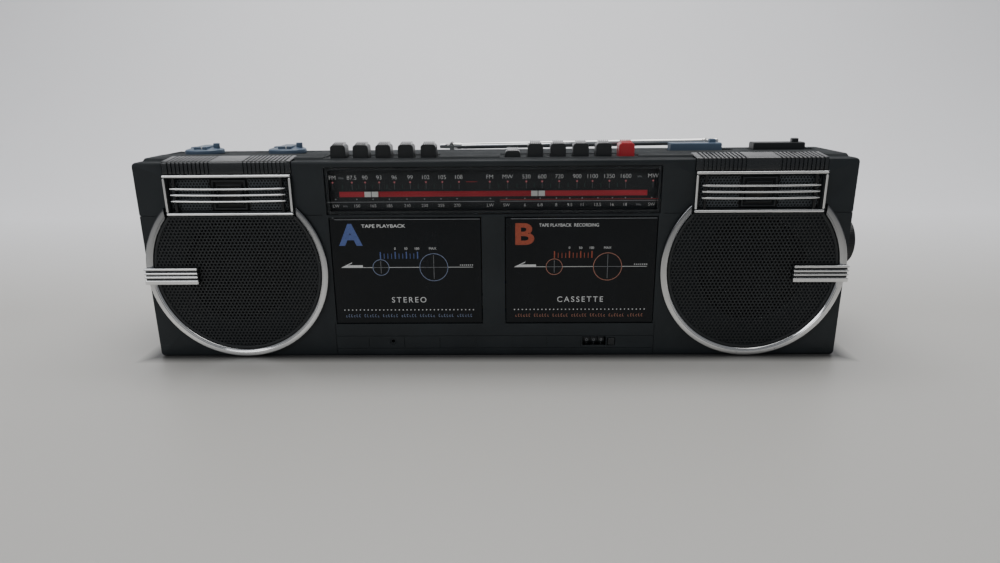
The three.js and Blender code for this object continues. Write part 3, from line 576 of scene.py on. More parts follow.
def front_cabinet():
    f, w = FRONT, HALF_WIDTH
    profile = arc(f + 1.4, 1.4, 1.4, -90, -180, 3) + arc(f + 1.7, LEDGE - 1.7, 1.7, 180, 90, 5)
    profile += [(-56.4, LEDGE), (-55.6, TOP - 0.9), (-54.9, TOP - 0.1)]
    profile += [(-54.0, TOP), (SPLIT, TOP), (SPLIT, 0)]
    bm = profiled(f, SPLIT, profile)
    cutters = [boxes((-w + 3, w - 3, f + 3, SPLIT + 1, 3, 158))]
    for _, side in SIDES:
        x = side * SPEAKER_X
        cutters.append(hole("y", f - 10, f + 4, x, SPEAKER_Z, 42.5, 64))
        cutters.append(boxes((x - 47.6, x + 47.6, f - 10, f + 4, 122.5, 148.3)))
        gap = bmesh.new()
        prism(gap, strip_profile(0.3), x - 50.5, x + 50.5, "x")
        above = bmesh.new()
        prism(above, [(f - 1, 161.5), (STRIP_BACK + 0.3, 163), (STRIP_BACK + 0.3, 170), (f - 1, 170)], x - 50.5, x + 50.5, "x")
        cutters += [gap, above]
        x = side * DECK_X
        cutters.append(boxes((x - 60.3, x + 60.3, f - 10, f + 4, 27.8, 116.9)))
    cutters.append(boxes((-131, 131, f - 10, f + 4, 118.9, 156.2)))
    cutters.append(boxes((72.9, 92.1, f - 10, f + 4, 8.2, 16.2)))
    cutters.append(boxes((93.3, 99.5, f - 10, f + 4, 8.8, 15.2)))
    cutters.append(hole("x", w - 4, w + 1, TUNING_Y, TUNING_Z, 4.3))
    for low, high in ((-132.5, -42.5), (5.5, 113)):
        well = bmesh.new()
        shallow = [(-59, 166), (-59, 162.6), (-54.6, 162.1), (-37.6, 162.1), (-36.2, 166)]
        prism(well, shallow, low, high, "x")
        cutters.append(well)
    cutters += [boxes((x - 6.4, x + 6.4, -53.4, -39.6, 150, 170)) for _, x in KEY_ROW]
    bm = bevelled(cut(bm, *cutters), 0.4)
    grooves = [(side * w - 0.7, side * w + 0.7, f - 1, SPLIT + 1, 118.75, 119.45) for _, side in SIDES]
    grooves += [(-w - 1, -134, f - 1, f + 0.6, 118.75, 119.45), (134, w + 1, f - 1, f + 0.6, 118.75, 119.45)]
    grooves += [(side * 131.2 - 0.3, side * 131.2 + 0.3, f - 1, f + 0.5, -1, 28.6) for _, side in SIDES]
    grooves += [(-130.8, 130.8, f - 1, f + 0.45, 17.1, 17.6), (-130.8, 130.8, f - 1, f + 0.45, 6.3, 6.8)]
    grooves += [(x - 0.25, x + 0.25, f - 1, f + 0.45, 7, 16.9) for x in (-104, -74.6, -45.1, -15.2, 14.9, 43.4, 71.5)]
    bm = cut(bm, *(boxes(g) for g in grooves), hole("y", f - 2, f + 0.8, -84.2, 12.4, 2.8, 32),
             hole("y", f - 2, f + 4, -84.2, 12.4, 1.4, 24))
    piece("front_cabinet_shell", bm, BODY, "cabinet", ["front_cabinet"])


def rear_cabinet():
    w, y0 = HALF_WIDTH, SPLIT + 0.3
    profile = [(y0, 0), (y0, TOP), (-4, TOP), (5, 163.0), (14, 162.1), (31, 160.3), (58, 157.2)]
    profile += arc(BACK - 4, 152.9, 4, 75, 0, 5) + arc(BACK - 2, 2, 2, 0, -90, 4)
    bm = profiled(y0, BACK, profile)
    inside = bmesh.new()
    points = [(y0 - 1, 3), (y0 - 1, 160), (-4, 160), (14, 158.8), (31, 157.2), (47, 155.2), (47, 75), (62, 75), (62, 3)]
    prism(inside, points, -w + 3, w - 3, "x")
    step = boxes((-252, 252, 50, 80, 78, 180))
    bm = cut(bm, inside, step)
    bay = boxes((-99, 99, 23, 64, 2, 77))
    bm = solved(bm, bay, "UNION")
    socket = boxes((-213, -187, 51, 64, 22, 38))
    bm = solved(bm, socket, "UNION")
    cutters = [boxes((-97, 97, 25, 62, 5, 74)), boxes((-94, 94, 61, 80, 8, 71)), boxes((-211, -189, 53, 80, 24, 36))]
    for _, x in KNOBS:
        cutters.append(boxes((x - 28, x + 28, KNOB_Y - 18.3, KNOB_Y + 18.3, 162.1, 170)))
        cutters.append(hole("z", 150, 170, x, KNOB_Y, 3.4))
    for _, x in SLIDERS:
        cutters.append(boxes((x - 22.5, x + 32, SLIDER_Y - 7.5, SLIDER_Y + 7.5, 162.1, 170)))
        cutters.append(boxes((x - 6, x + 18, SLIDER_Y - 1.5, SLIDER_Y + 1.5, 150, 170)))
    cutters.append(hole("z", 160.2, 170, MAST[0], MAST[1], 6))
    cutters.append(hole("z", 150, 170, MAST[0], MAST[1], 2.4))
    for _, side in SIDES:
        cutters.append(hole("x", side * 254 - 4, side * 254 + 4, 58, 149, 3.3))
    bm = bevelled(cut(bm, *cutters), 0.4)
    fine = [boxes((side * w - 0.7, side * w + 0.7, y0 - 1, BACK + 1, 118.75, 119.45)) for _, side in SIDES]
    fine += [boxes((x, x + 1.6, 61, 70, 22, 58)) for x in [-178 + 5 * i for i in range(9)]]
    fine += [hole("y", 58, 70, x, z, 4.2, 28) for x in (-262, -130, 130, 262) for z in (12, 66)]
    fine += [hole("y", 46, 70, x, 140, 4.2, 28) for x in (-160, 0, 160)]
    bm = cut(bm, *fine)
    piece("rear_cabinet_shell", bm, BODY, "cabinet", ["rear_cabinet"])


def screws():
    """Cross-head screws at the bottom of the holes in the back."""
    bm = bmesh.new()
    places = [(x, 62.5, z) for x in (-262, -130, 130, 262) for z in (12, 66)]
    places += [(x, 48.2, 140) for x in (-160, 0, 160)]
    for x, y, z in places:
        head = [(0, y + 0.6), (2.0, y + 0.4), (3.3, y - 0.3), (3.4, y - 1.2), (0, y - 1.2)]
        turned(bm, head, "y", x, z, 20)
        box(bm, x - 1.9, x + 1.9, y + 0.2, y + 0.75, z - 0.35, z + 0.35)
        box(bm, x - 0.35, x + 0.35, y + 0.2, y + 0.75, z - 1.9, z + 1.9)
    piece("back_screws", bm, STEEL, "cabinet")


def ribbed_strip(name, x0):
    """A cover with ribs that run up the front and back over the top."""
    def loop(x, depth):
        """The cross-section, with its outer face lowered by depth and its ends kept clear."""
        outer = [(-66, 152.1), (-66, 160.3), (-65.7, 161.2), (-64.9, 161.9), (-64.4, 162.0), (-46.8, 164.0),
                 (-46.2, 164.0), (-45.8, 163.6)]
        inner = [(-45.8, 162.4), (-62.6, 160.4), (-64.0, 158.8), (-64.0, 151.9), (-65.4, 151.8)]
        sunk = [(min(y + depth, -45.9) if z < 161.9 else y, z if y < -65.4 else z - depth) for y, z in outer]
        return [(x, y, z) for y, z in (sunk if depth else outer) + inner]

    stations = [(-50.2, 0.5), (-49.7, 0.0)]
    for start in (-45.6, 13.4):
        for i in range(11):
            x = start + 3.2 * i - (0.3 if start < 0 else 0)
            stations += [(x, 0.0), (x + 0.3, 0.9), (x + 1.4, 0.9), (x + 1.7, 0.0)]
    stations += [(49.7, 0.0), (50.2, 0.5)]
    bm = bmesh.new()
    loft(bm, [loop(x0 + x, d) for x, d in stations])
    piece(name + "_cover", bm, RIBS, "cabinet", [name], angle=40)


front_cabinet()
rear_cabinet()
screws()
for side_name, side in SIDES:
    ribbed_strip(side_name + "_ribbed_strip", side * SPEAKER_X)

# ---------------------------------------------------------------- speakers


def perforated(bm, x0, z0, inside, pitch, hole_radius, y0, y1, reach_x, reach_z):
    """A sheet of staggered six-sided cells, each with a hole, wherever inside(x, z) holds."""
    corner = pitch / math.sqrt(3)
    rows = {}

    def shared(key, p):
        if key not in rows:
            rows[key] = bm.verts.new(p)
        return rows[key]

    turns = [math.radians(60 * k + 30) for k in range(6)]
    line = pitch * math.sqrt(3) / 2
    for row in range(-int(reach_z / line) - 1, int(reach_z / line) + 2):
        for col in range(-int(reach_x / pitch) - 1, int(reach_x / pitch) + 2):
            cx, cz = (col + 0.5 * (row % 2)) * pitch, row * line
            if not inside(cx, cz):
                continue
            rim = [(cx + corner * math.cos(t), cz + corner * math.sin(t)) for t in turns]
            inner = [(cx + hole_radius * math.cos(t), cz + hole_radius * math.sin(t)) for t in turns]
            keys = [(round(x * 20), round(z * 20)) for x, z in rim]
            face = [shared((k, 0), (x0 + x, y0, z0 + z)) for k, (x, z) in zip(keys, rim)]
            back = [shared((k, 1), (x0 + x, y1, z0 + z)) for k, (x, z) in zip(keys, rim)]
            mouth = [bm.verts.new((x0 + x, y0 + 0.12, z0 + z)) for x, z in inner]
            end = [bm.verts.new((x0 + x, y1, z0 + z)) for x, z in inner]
            for k in range(6):
                n = (k + 1) % 6
                bm.faces.new((face[k], face[n], mouth[n], mouth[k]))
                bm.faces.new((mouth[k], mouth[n], end[n], end[k]))
                bm.faces.new((end[k], end[n], back[n], back[k]))
    edges = [e for e in bm.edges if len(e.link_faces) == 1]
    pairs = {frozenset((e.verts[0].co.x, e.verts[0].co.z, e.verts[1].co.x, e.verts[1].co.z)): [] for e in edges}
    for e in edges:
        pairs[frozenset((e.verts[0].co.x, e.verts[0].co.z, e.verts[1].co.x, e.verts[1].co.z))].append(e)
    for both in pairs.values():
        if len(both) == 2:
            bmesh.ops.contextual_create(bm, geom=[v for e in both for v in e.verts])


def speaker_grille(name, x0):
    radius, top = 67.1, 44.5
    bm = bmesh.new()

    def inside(x, z):
        return math.hypot(x, z) < radius - 1.75 and z < top - 1.0

    perforated(bm, x0, SPEAKER_Z, inside, 2.93, 1.08, -66.5, -65.6, radius, radius)
    piece(name + "_sheet", bm, GRILLE, "cabinet", [name])
    rim = bmesh.new()
    first = math.degrees(math.acos(top / radius))
    loops = []
    for i in range(121):
        t = math.radians(first + (360 - 2 * first) * i / 120)
        loop = []
        for r, y in ((radius - 1.9, -66.5), (radius - 1.5, -66.7), (radius, -66.7), (radius, -65.5), (radius - 1.9, -65.5)):
            z = r * math.cos(t)
            loop.append((x0 + r * math.sin(t), y, SPEAKER_Z + min(z, top)))
        loops.append(loop)
    loft(rim, loops)
    half = math.sqrt(radius**2 - top**2)
    box(rim, x0 - half + 0.4, x0 + half - 0.4, -66.7, -65.5, SPEAKER_Z + top - 1.3, SPEAKER_Z + top)
    piece(name + "_rim", rim, GRILLE, "cabinet")


def speaker_trim(name, side):
    x0 = side * SPEAKER_X
    profile = [(67.6, -65.3), (73.4, -65.3), (73.4, -67.4), (73.25, -68.0), (72.9, -68.3), (72.4, -68.4),
               (69.9, -68.4), (69.6, -68.3), (69.4, -68.0), (69.1, -67.95), (68.8, -68.1), (67.9, -67.5), (67.6, -67.0)]
    bm = bmesh.new()
    turned(bm, profile, "y", x0, SPEAKER_Z, 168, limit=52.2)
    piece(name + "_ring", bm, RING_CHROME, "cabinet", [name], angle=50)
    x1, x2 = (-74.4, -31.2) if side < 0 else (31.2, 74.4)
    clip = boxes(*[(x0 + x1, x0 + x2, -71, -67.6, SPEAKER_Z + a, SPEAKER_Z + b)
                   for a, b in ((1.3, 3.2), (-2.2, -0.4), (-5.2, -3.4), (-10.3, -6.8))])
    piece(name + "_clip_bars", clip, CHROME, "cabinet", bevel=0.6, segments=3)
    base = boxes((x0 + x1 + 0.6, x0 + x2 - 0.6, -69.4, -67.0, SPEAKER_Z - 9.8, SPEAKER_Z + 2.7))
    piece(name + "_clip_base", base, PLATE, "cabinet", bevel=0.3)


def ring_of(bm, x0, x1, z0, z1, bar, section):
    """A rectangular frame, mitred at its corners. section is [inset as a share of the bar, y] points."""
    loops = [[(a, y, b) for a, b in (
        (x0 + s * bar, z0 + s * bar), (x1 - s * bar, z0 + s * bar), (x1 - s * bar, z1 - s * bar), (x0 + s * bar, z1 - s * bar)
    )] for s, y in section]
    loft(bm, loops, closed_way=True)


FRAME_BED = [(0, -65.3), (0, -66.4), (1, -66.4), (1, -65.3)]


def horn_frame(name, x0):
    rim = bmesh.new()
    ring_of(rim, x0 - 49.8, x0 + 49.8, 120.0, 151.3, 1.9, FRAME_BED)
    piece(name + "_bed", rim, KEY, "cabinet")
    top = boxes((x0 - 50.1, x0 + 50.1, -68.7, -65.4, 149.4, 151.6))
    piece(name + "_top_bar", top, CHROME, "cabinet", [name], bevel=0.85, segments=4, angle=50)
    others = boxes((x0 - 50.1, x0 + 50.1, -68.7, -65.4, 119.7, 121.9), (x0 - 50.1, x0 - 48.1, -68.7, -65.4, 122.3, 149.0),
                   (x0 + 48.1, x0 + 50.1, -68.7, -65.4, 122.3, 149.0))
    piece(name + "_rim_bars", others, CHROME, "cabinet", bevel=0.85, segments=4, angle=50)
    bars = bmesh.new()
    for z in (140.9, 136.1, 131.2):
        loops = []
        for i in range(25):
            x = -45 + 90 * i / 24
            bow = -0.5 * (1 - (x / 45) ** 2)
            reach = 0.9 if abs(x) < 44.9 else 0.5
            loops.append([(x0 + x, -67.9 + reach * math.cos(t), z + bow + reach * math.sin(t))
                          for t in [2 * math.pi * k / 10 for k in range(10)]])
        loft(bars, loops)
    piece(name + "_bars", bars, CHROME, "cabinet", angle=50)
    posts = boxes(*[(x0 + x - 1, x0 + x + 1, -67.2, -65.3, 121, 150) for x in (-42, 42)])
    piece(name + "_posts", posts, DARK, "cabinet", bevel=0.3)


def horn(name, x0):
    """Perforated panels on both sides of a square horn mouth with a small dome."""
    bm = bmesh.new()

    def inside(x, z):
        return 15 < abs(x) < 45.9 and abs(z) < 11.5

    perforated(bm, x0, 135.4, inside, 2.5, 0.93, -63.9, -63.0, 47, 12.5)
    piece(name + "_side_panels", bm, HORN_PANEL, "cabinet")
    plate = boxes((x0 - 47.2, x0 + 47.2, -62.4, -61.2, 122.9, 147.9), (x0 - 47.2, x0 - 46, -64, -62, 122.9, 147.9),
                  (x0 + 46, x0 + 47.2, -64, -62, 122.9, 147.9))
    piece(name + "_plate", plate, DARK, "cabinet", bevel=0.2)
    mouth = bmesh.new()
    outer = [(0, -61.6), (0, -64.2), (0.25, -64.7), (0.7, -64.6), (1, -63.6), (1.3, -61.6)]
    ring_of(mouth, x0 - 13.4, x0 + 13.4, 123.6, 147.2, 1.7, outer)
    ring_of(mouth, x0 - 10, x0 + 10, 127.2, 143.6, 1.3, [(s, y + 0.5) for s, y in outer])
    piece(name + "_mouth", mouth, PLATE, "cabinet", [name], bevel=0.15)
    dome = bmesh.new()
    turned(dome, [(0, -63.4), (2.2, -63.2), (4, -62.6), (5, -61.8), (5, -61.3), (0, -61.3)], "y", x0, 135.4, 32)
    piece(name + "_dome", dome, CONE, "cabinet")


for side_name, side in SIDES:
    speaker_grille(side_name + "_grille", side * SPEAKER_X)
    speaker_trim(side_name + "_speaker_trim", side)
    horn_frame(side_name + "_horn_frame", side * SPEAKER_X)
    horn(side_name + "_tweeter", side * SPEAKER_X)

# ---------------------------------------------------------------- tuning dial


DIAL_SPREAD = 1.004


def dial():
    window = boxes((-130.7, 130.7, -65.2, -63.2, 119.2, 155.9))
    piece("dial_window_cover", window, COVER, "cabinet", ["dial_window"], bevel=0.35)
    upper = [("FM", -123.8), ("87.5", -108.8), ("90", -98.5), ("93", -87.6), ("96", -75.8), ("99", -63.6), ("102", -51.4),
             ("105", -38.7), ("108", -25.9), ("FM", -2.1), ("MW", 11.7), ("530", 26), ("600", 38.2), ("720", 51.3),
             ("900", 65), ("1100", 76.9), ("1350", 89.8), ("1600", 102.4), ("MW", 123.3)]
    lower = [("LW", -122.3), ("150", -105.8), ("165", -93.1), ("185", -80.4), ("210", -66.7), ("230", -53), ("255", -40.2),
             ("270", -27.7), ("LW", -1.9), ("SW", 10.7), ("6", 25), ("6.8", 36.7), ("8", 49.3), ("9.5", 59.7), ("11", 69.3),
             ("13.5", 81.4), ("16", 92.6), ("18", 102.7), ("SW", 122.9)]
    marks = Prints(-65.2, 0.04)
    for words, x in upper:
        x *= DIAL_SPREAD
        marks.words("white", words, x, 148.4, 3.0, bold=-0.02)
        marks.diamond("pink", x, 144.7, 0.8)
        marks.bar("grey", x - 0.14, x + 0.14, 139.2, 143.3)
    for (_, a), (_, b) in zip(upper, upper[1:]):
        if b - a < 16:
            middle = (a + b) / 2 * DIAL_SPREAD
            marks.bar("green", middle - 0.14, middle + 0.14, 140.0, 142.9)
    for words, x in lower:
        marks.words("white", words, x * DIAL_SPREAD, 126.3, 2.3, bold=-0.02)
        marks.diamond("dim", x * DIAL_SPREAD, 131.6, 0.6)
    for words, x, z in (("MHz", -117.4, 148.0), ("kHz", 113.4, 148.0), ("kHz", -115.5, 126.2), ("MHz", 113.6, 126.2)):
        marks.words("dim", words, x, z, 1.4)
    marks.bar("dim", -129.4, 1.3, 129.15, 129.5)
    marks.bar("dim", 5.9, 128.6, 129.15, 129.5)
    marks.bar("red", 5.9, 128.6, 130.5, 130.75)
    marks.bar("red", -20.5, -12, 144.5, 144.8)
    marks.finish("dial", "cabinet", INKS)
    track = Prints(-56.0, 0.1)
    track.bar("red", -122, 121.6, 131.8, 136.05)
    track.finish("dial_track", "cabinet", {"red": (TRACK_RED, "red_plastic")})
    tray = boxes((-129.5, 129.5, -62.9, -54.2, 120.0, 121.1), (-129.5, 129.5, -62.9, -54.2, 154.7, 155.8),
                 (-130.2, -129.1, -62.9, -54.2, 120.0, 155.8), (129.1, 130.2, -62.9, -54.2, 120.0, 155.8))
    piece("dial_tray_walls", tray, PLATE, "cabinet", bevel=0.15)
    mask = boxes((-130.6, 130.6, -63.15, -62.95, 119.3, 121.7), (-130.6, 130.6, -63.15, -62.95, 153.5, 155.8),
                 (-130.6, -128.4, -63.15, -62.95, 121.7, 153.5), (128.4, 130.6, -63.15, -62.95, 121.7, 153.5))
    piece("dial_mask", mask, PLATE, "cabinet")
    flags, carriers, rod = bmesh.new(), bmesh.new(), bmesh.new()
    for x in (-96.0, 35.5):
        for a, b in ((-5.4, -0.3), (0.3, 5.4)):
            box(flags, x + a, x + b, -59, -58.1, 132.2, 136.4)
        box(carriers, x - 5.3, x + 5.3, -58.3, -57.4, 132.3, 136.3)
    box(rod, -96, 35.5, -58, -57.3, 133.9, 134.7)
    piece("pointer_flags", flags, CREAM, "dial_pointers", ["dial_pointers"], bevel=0.12)
    piece("pointer_carriers", carriers, PLATE, "dial_pointers", bevel=0.1)
    piece("pointer_link", rod, TRACK_RED, "dial_pointers", bevel=0.1)


dial()
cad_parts["dial_scale"].data.materials[0] = PLATE


def tuning_knob():
    bm = bmesh.new()
    profile = round_corner([(0, 262), (8, 262), (8, 264), (7, 265.5), (8, 267), (8, 269), (4, 269), (4, 281.2), (18.3, 281.2),
                            (19, 282.2), (19, 289.6), (18.4, 290.2), (16.6, 290.2), (15.6, 289.4), (0, 288.9)], 0.4, 2)
    turned(bm, profile, "x", TUNING_Y, TUNING_Z, 180)
    for v in bm.verts:
        dy, dz = v.co.y - TUNING_Y, v.co.z - TUNING_Z
        r = math.hypot(dy, dz)
        if r > 18.2 and 282 < v.co.x < 289.4:
            share = 1 - 0.022 * (0.5 + 0.5 * math.cos(math.atan2(dy, dz) * 60))
            v.co.y, v.co.z = TUNING_Y + dy * share, TUNING_Z + dz * share
    piece("tuning_knob_turned", bm, KEY, "tuning_knob", ["tuning_knob"], angle=40)


tuning_knob()

# ---------------------------------------------------------------- cassette decks


def door_print(letter, x0, body):
    """Lines, circles, a tape scale and a letter, printed on a door."""
    tint = "blue" if letter == "A" else "orange"
    p = Prints(-64.9)
    if letter == "A":
        p.words(tint, letter, x0 - 44.0, 103.1, 17.8, width=18.8, bold=0.05)
        p.words("white", "TAPE PLAYBACK", x0 - 17.3, 110.1, 2.7, width=35, bold=0.012)
        p.words("white", "STEREO", x0 + 0.4, 48.8, 4.6, spacing=1.35)
    else:
        p.words(tint, letter, x0 - 44.6, 103.0, 17.6, width=15, bold=0.03)
        p.words("white", "TAPE PLAYBACK  RECORDING", x0 - 9.8, 110.1, 2.6, width=47, bold=0.006)
        p.words("white", "CASSETTE", x0 + 0.4, 48.8, 4.6, spacing=1.35)
    arrow = [(-53.4, 76.0), (-44.0, 80.6), (-44.5, 79.5), (-48.0, 78.1), (-35.6, 78.1), (-35.6, 76.0)]
    p.shape("white", [(x0 + x, z) for x, z in arrow])
    for a, b in ((-35.6, -27.9), (-14.4, 9.9), (33.1, 53.0)):
        p.bar("white", x0 + a, x0 + b, 76.0, 76.4)
    for x, radius in ((-21.0, 6.5), (21.6, 11.3)):
        p.circle("pale_" + tint, x0 + x, 76.15, radius, 0.42)
        p.bar("dim", x0 + x - radius, x0 + x + radius, 76.0, 76.3)
        p.bar("dim", x0 + x - 0.15, x0 + x + 0.15, 76.15 - radius + 1.6, 76.15 + radius - 1.2)
    for i in range(11):
        x = x0 - 20.9 + 2.98 * i
        tall = i in (0, 4, 7, 10)
        p.bar(tint, x - (0.45 if tall else 0.25), x + (0.45 if tall else 0.25), 83.4, 89.0 if tall else 87.6)
    for words, x in (("0", -9.0), ("50", -0.2), ("100", 8.7), ("MAX", 21.2)):
        p.words("white", words, x0 + x, 91.7, 1.9)
    for i in range(7):
        p.bar("white", x0 + 42.8 + 1.6 * i, x0 + 43.5 + 1.6 * i, 77.5, 78.4)
    for i in range(34):
        x = x0 - 52.9 + 3.2 * i
        p.bar("white", x - 0.45, x + 0.45, 39.7, 40.6)
    for i in range(48):
        if i % 7 != 6:
            x = x0 - 51.6 + 2.18 * i
            high = 36.4 if i % 3 else 35.6
            p.bar("pale_" + tint, x - 0.55, x + 0.55, 33.9, 34.3)
            p.bar("pale_" + tint, x - 0.55, x - 0.2, 33.9, high)
            p.bar("pale_" + tint, x - 0.55, x + (0.55 if i % 2 else 0.1), high - 0.35, high)
    p.finish(f"deck_{letter.lower()}", body, INKS)


def deck(letter, side):
    x0, name = side * DECK_X, f"deck_{letter.lower()}_door"
    panel = boxes((x0 - 59.9, x0 + 59.9, HINGE_Y - 1.4, HINGE_Y + 1.4, HINGE_Z - 1.3, 116.5))
    piece(name + "_panel", panel, DOOR, name, [name], bevel=0.7, segments=3)
    lip = boxes((x0 - 55.6, x0 + 59.2, HINGE_Y - 1.46, HINGE_Y - 1.3, 115.15, 115.5))
    piece(name + "_edge_line", lip, DIM_INK, name)
    holder = boxes((x0 - 54.2, x0 + 54.2, HINGE_Y + 1.2, -48.5, 44.6, 46.6))
    for s in (-1, 1):
        a, b = sorted((x0 + s * 51.4, x0 + s * 54.2))
        box(holder, a, b, HINGE_Y + 1.2, -48.5, 44.8, 95.8)
        a, b = sorted((x0 + s * 48, x0 + s * 52))
        box(holder, a, b, -49.9, -48.5, 53.8, 85.8)
        a, b = sorted((x0 + s * 59, x0 + s * 61.6))
        turned(holder, [(0, a), (0.8, a), (0.8, b), (0, b)], "x", HINGE_Y, HINGE_Z, 16)
    piece(name + "_holder", holder, KEY, name, bevel=0.25)
    door_print(letter, x0, name)


deck("A", -1)
deck("B", 1)
for letter in "ab":
    for node, paint in (("chassis", STEEL), ("head_slide", STEEL), ("capstan", BRASS), ("takeup_spindle", KEY),
                        ("supply_spindle", KEY)):
        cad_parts[f"deck_{letter}_{node}"].data.materials[0] = paint

# ---------------------------------------------------------------- tape keys


def tape_key(name, x0, down):
    """A key with a broad rim, and a ribbed finger pad that rises towards the back."""
    top = 172.2 - down
    paint, slot = (RED, "red_plastic") if "record" in name else (KEY, "key_plastic")
    bend, crest = 2.6, top + 0.1
    front = [(x0 - 6, 146 - down), (x0 + 6, 146 - down)] + arc(x0 + 6 - bend, crest - bend, bend, 0, 90, 6)
    front += arc(x0 - 6 + bend, crest - bend, bend, 90, 180, 6)
    bm = bmesh.new()
    prism(bm, front, -53, -40, "y")
    piece(name + "_cap", bm, paint, name, [name], bevel=0.45, segments=3)
    pad = bmesh.new()
    for i in range(6):
        x = x0 - 3.75 + 1.5 * i
        outline = [(-51.4, top - 0.6), (-51.4, top + 0.2), (-50.8, top + 0.7), (-46, top + 1.3), (-41.6, top + 1.75),
                   (-40.9, top + 1.3), (-40.9, top - 0.6)]
        prism(pad, outline, x - 0.42, x + 0.42, "x")
    under = [(-51.2, top - 0.6), (-51.2, top + 0.1), (-41, top + 1.05), (-41, top - 0.6)]
    prism(pad, under, x0 - 4.3, x0 + 4.3, "x")
    piece(name + "_pad", pad, RED if paint is RED else PAD, name, bevel=0.1, segments=1)


for key_name, key_x in KEY_ROW:
    tape_key(key_name, key_x, 5.3 if key_name == "deck_b_pause_key" else 0)

# ---------------------------------------------------------------- controls on the top


def rotary(name, x0):
    """A finger disc with a coined rim, a raised grip and a peg."""
    bm = bmesh.new()
    profile = round_corner([(0, 154), (3, 154), (3, 162.4), (15.2, 162.4), (15.7, 163), (15.7, 165.2), (14.9, 166.1),
                            (11, 167.1), (6, 167.7), (0, 167.8)], 0.4, 2)
    turned(bm, profile, "z", x0, KNOB_Y, 144)
    for v in bm.verts:
        dx, dy = v.co.x - x0, v.co.y - KNOB_Y
        if math.hypot(dx, dy) > 14.9 and 162.9 < v.co.z < 165.4:
            share = 1 - 0.02 * (0.5 + 0.5 * math.cos(math.atan2(dy, dx) * 48))
            v.co.x, v.co.y = x0 + dx * share, KNOB_Y + dy * share
    piece(name + "_disc", bm, BLUE, name, [name], angle=40)
    grip = boxes((x0 - 10.5, x0 + 6.4, KNOB_Y - 3.2, KNOB_Y + 3.2, 166.2, 168.1))
    piece(name + "_grip", grip, BLUE, name, bevel=0.5, segments=3)
    peg = bmesh.new()
    turned(peg, round_corner([(0, 166.8), (2.6, 166.8), (2.6, 171.0), (0, 171.1)], 0.5, 3), "z", x0 + 10.4, KNOB_Y, 32)
    piece(name + "_peg", peg, BLUE, name, angle=40)
    block = boxes((x0 - 4.4, x0 + 6.6, KNOB_Y - 11.6, KNOB_Y + 11.6, 166.2, 168.9))
    piece(name + "_block", block, BLUE, name, bevel=0.6, segments=3)
    mark = boxes((x0 + 2.0, x0 + 3.0, KNOB_Y - 11.75, KNOB_Y - 8.6, 166.9, 169.0))
    piece(name + "_mark", mark, WHITE_INK, name, bevel=0.08)


def slide_cap(name, x0, paint):
    bm = bmesh.new()
    top = [(-6, 162.5), (-6, 167.9), (-5.4, 168.9), (-4.4, 169.3), (4.4, 169.3), (5.4, 168.9), (6, 167.9), (6, 162.5)]
    prism(bm, [(SLIDER_Y + y, z) for y, z in top], x0 - 21, x0 + 21, "x")
    piece(name + "_cap", bm, paint, name, [name], bevel=0.6, segments=3)
    peg = boxes((x0 + 11.4, x0 + 16.8, SLIDER_Y - 2.6, SLIDER_Y + 2.6, 168.8, 172.3))
    piece(name + "_peg", peg, paint, name, bevel=0.9, segments=3)
    blade = boxes((x0 - 3.5, x0 + 3.5, SLIDER_Y - 1.2, SLIDER_Y + 1.2, 154, 163))
    piece(name + "_blade", blade, paint, name, bevel=0.2)


for knob_name, knob_x in KNOBS:
    rotary(knob_name, knob_x)
slide_cap("band_slider", SLIDERS[0][1], BLUE)
slide_cap("function_slider", SLIDERS[1][1], KEY)


def top_print():
    """Short lines that mark the places of the sliders."""
    marks = bmesh.new()
    for _, x in SLIDERS:
        for i in range(3):
            box(marks, x - 18 + 9 * i, x - 17.5 + 9 * i, -8, -5.5, TOP - 0.02, TOP + 0.03)
    piece("top_scale_print", marks, DIM_INK, "cabinet")


top_print()

# ---------------------------------------------------------------- antenna

SLOPE = Matrix.Rotation(math.radians(-0.6), 4, "Y")


def on_mast(bm):
    bmesh.ops.transform(bm, verts=bm.verts, matrix=Matrix.Translation(MAST) @ SLOPE)
    return bm


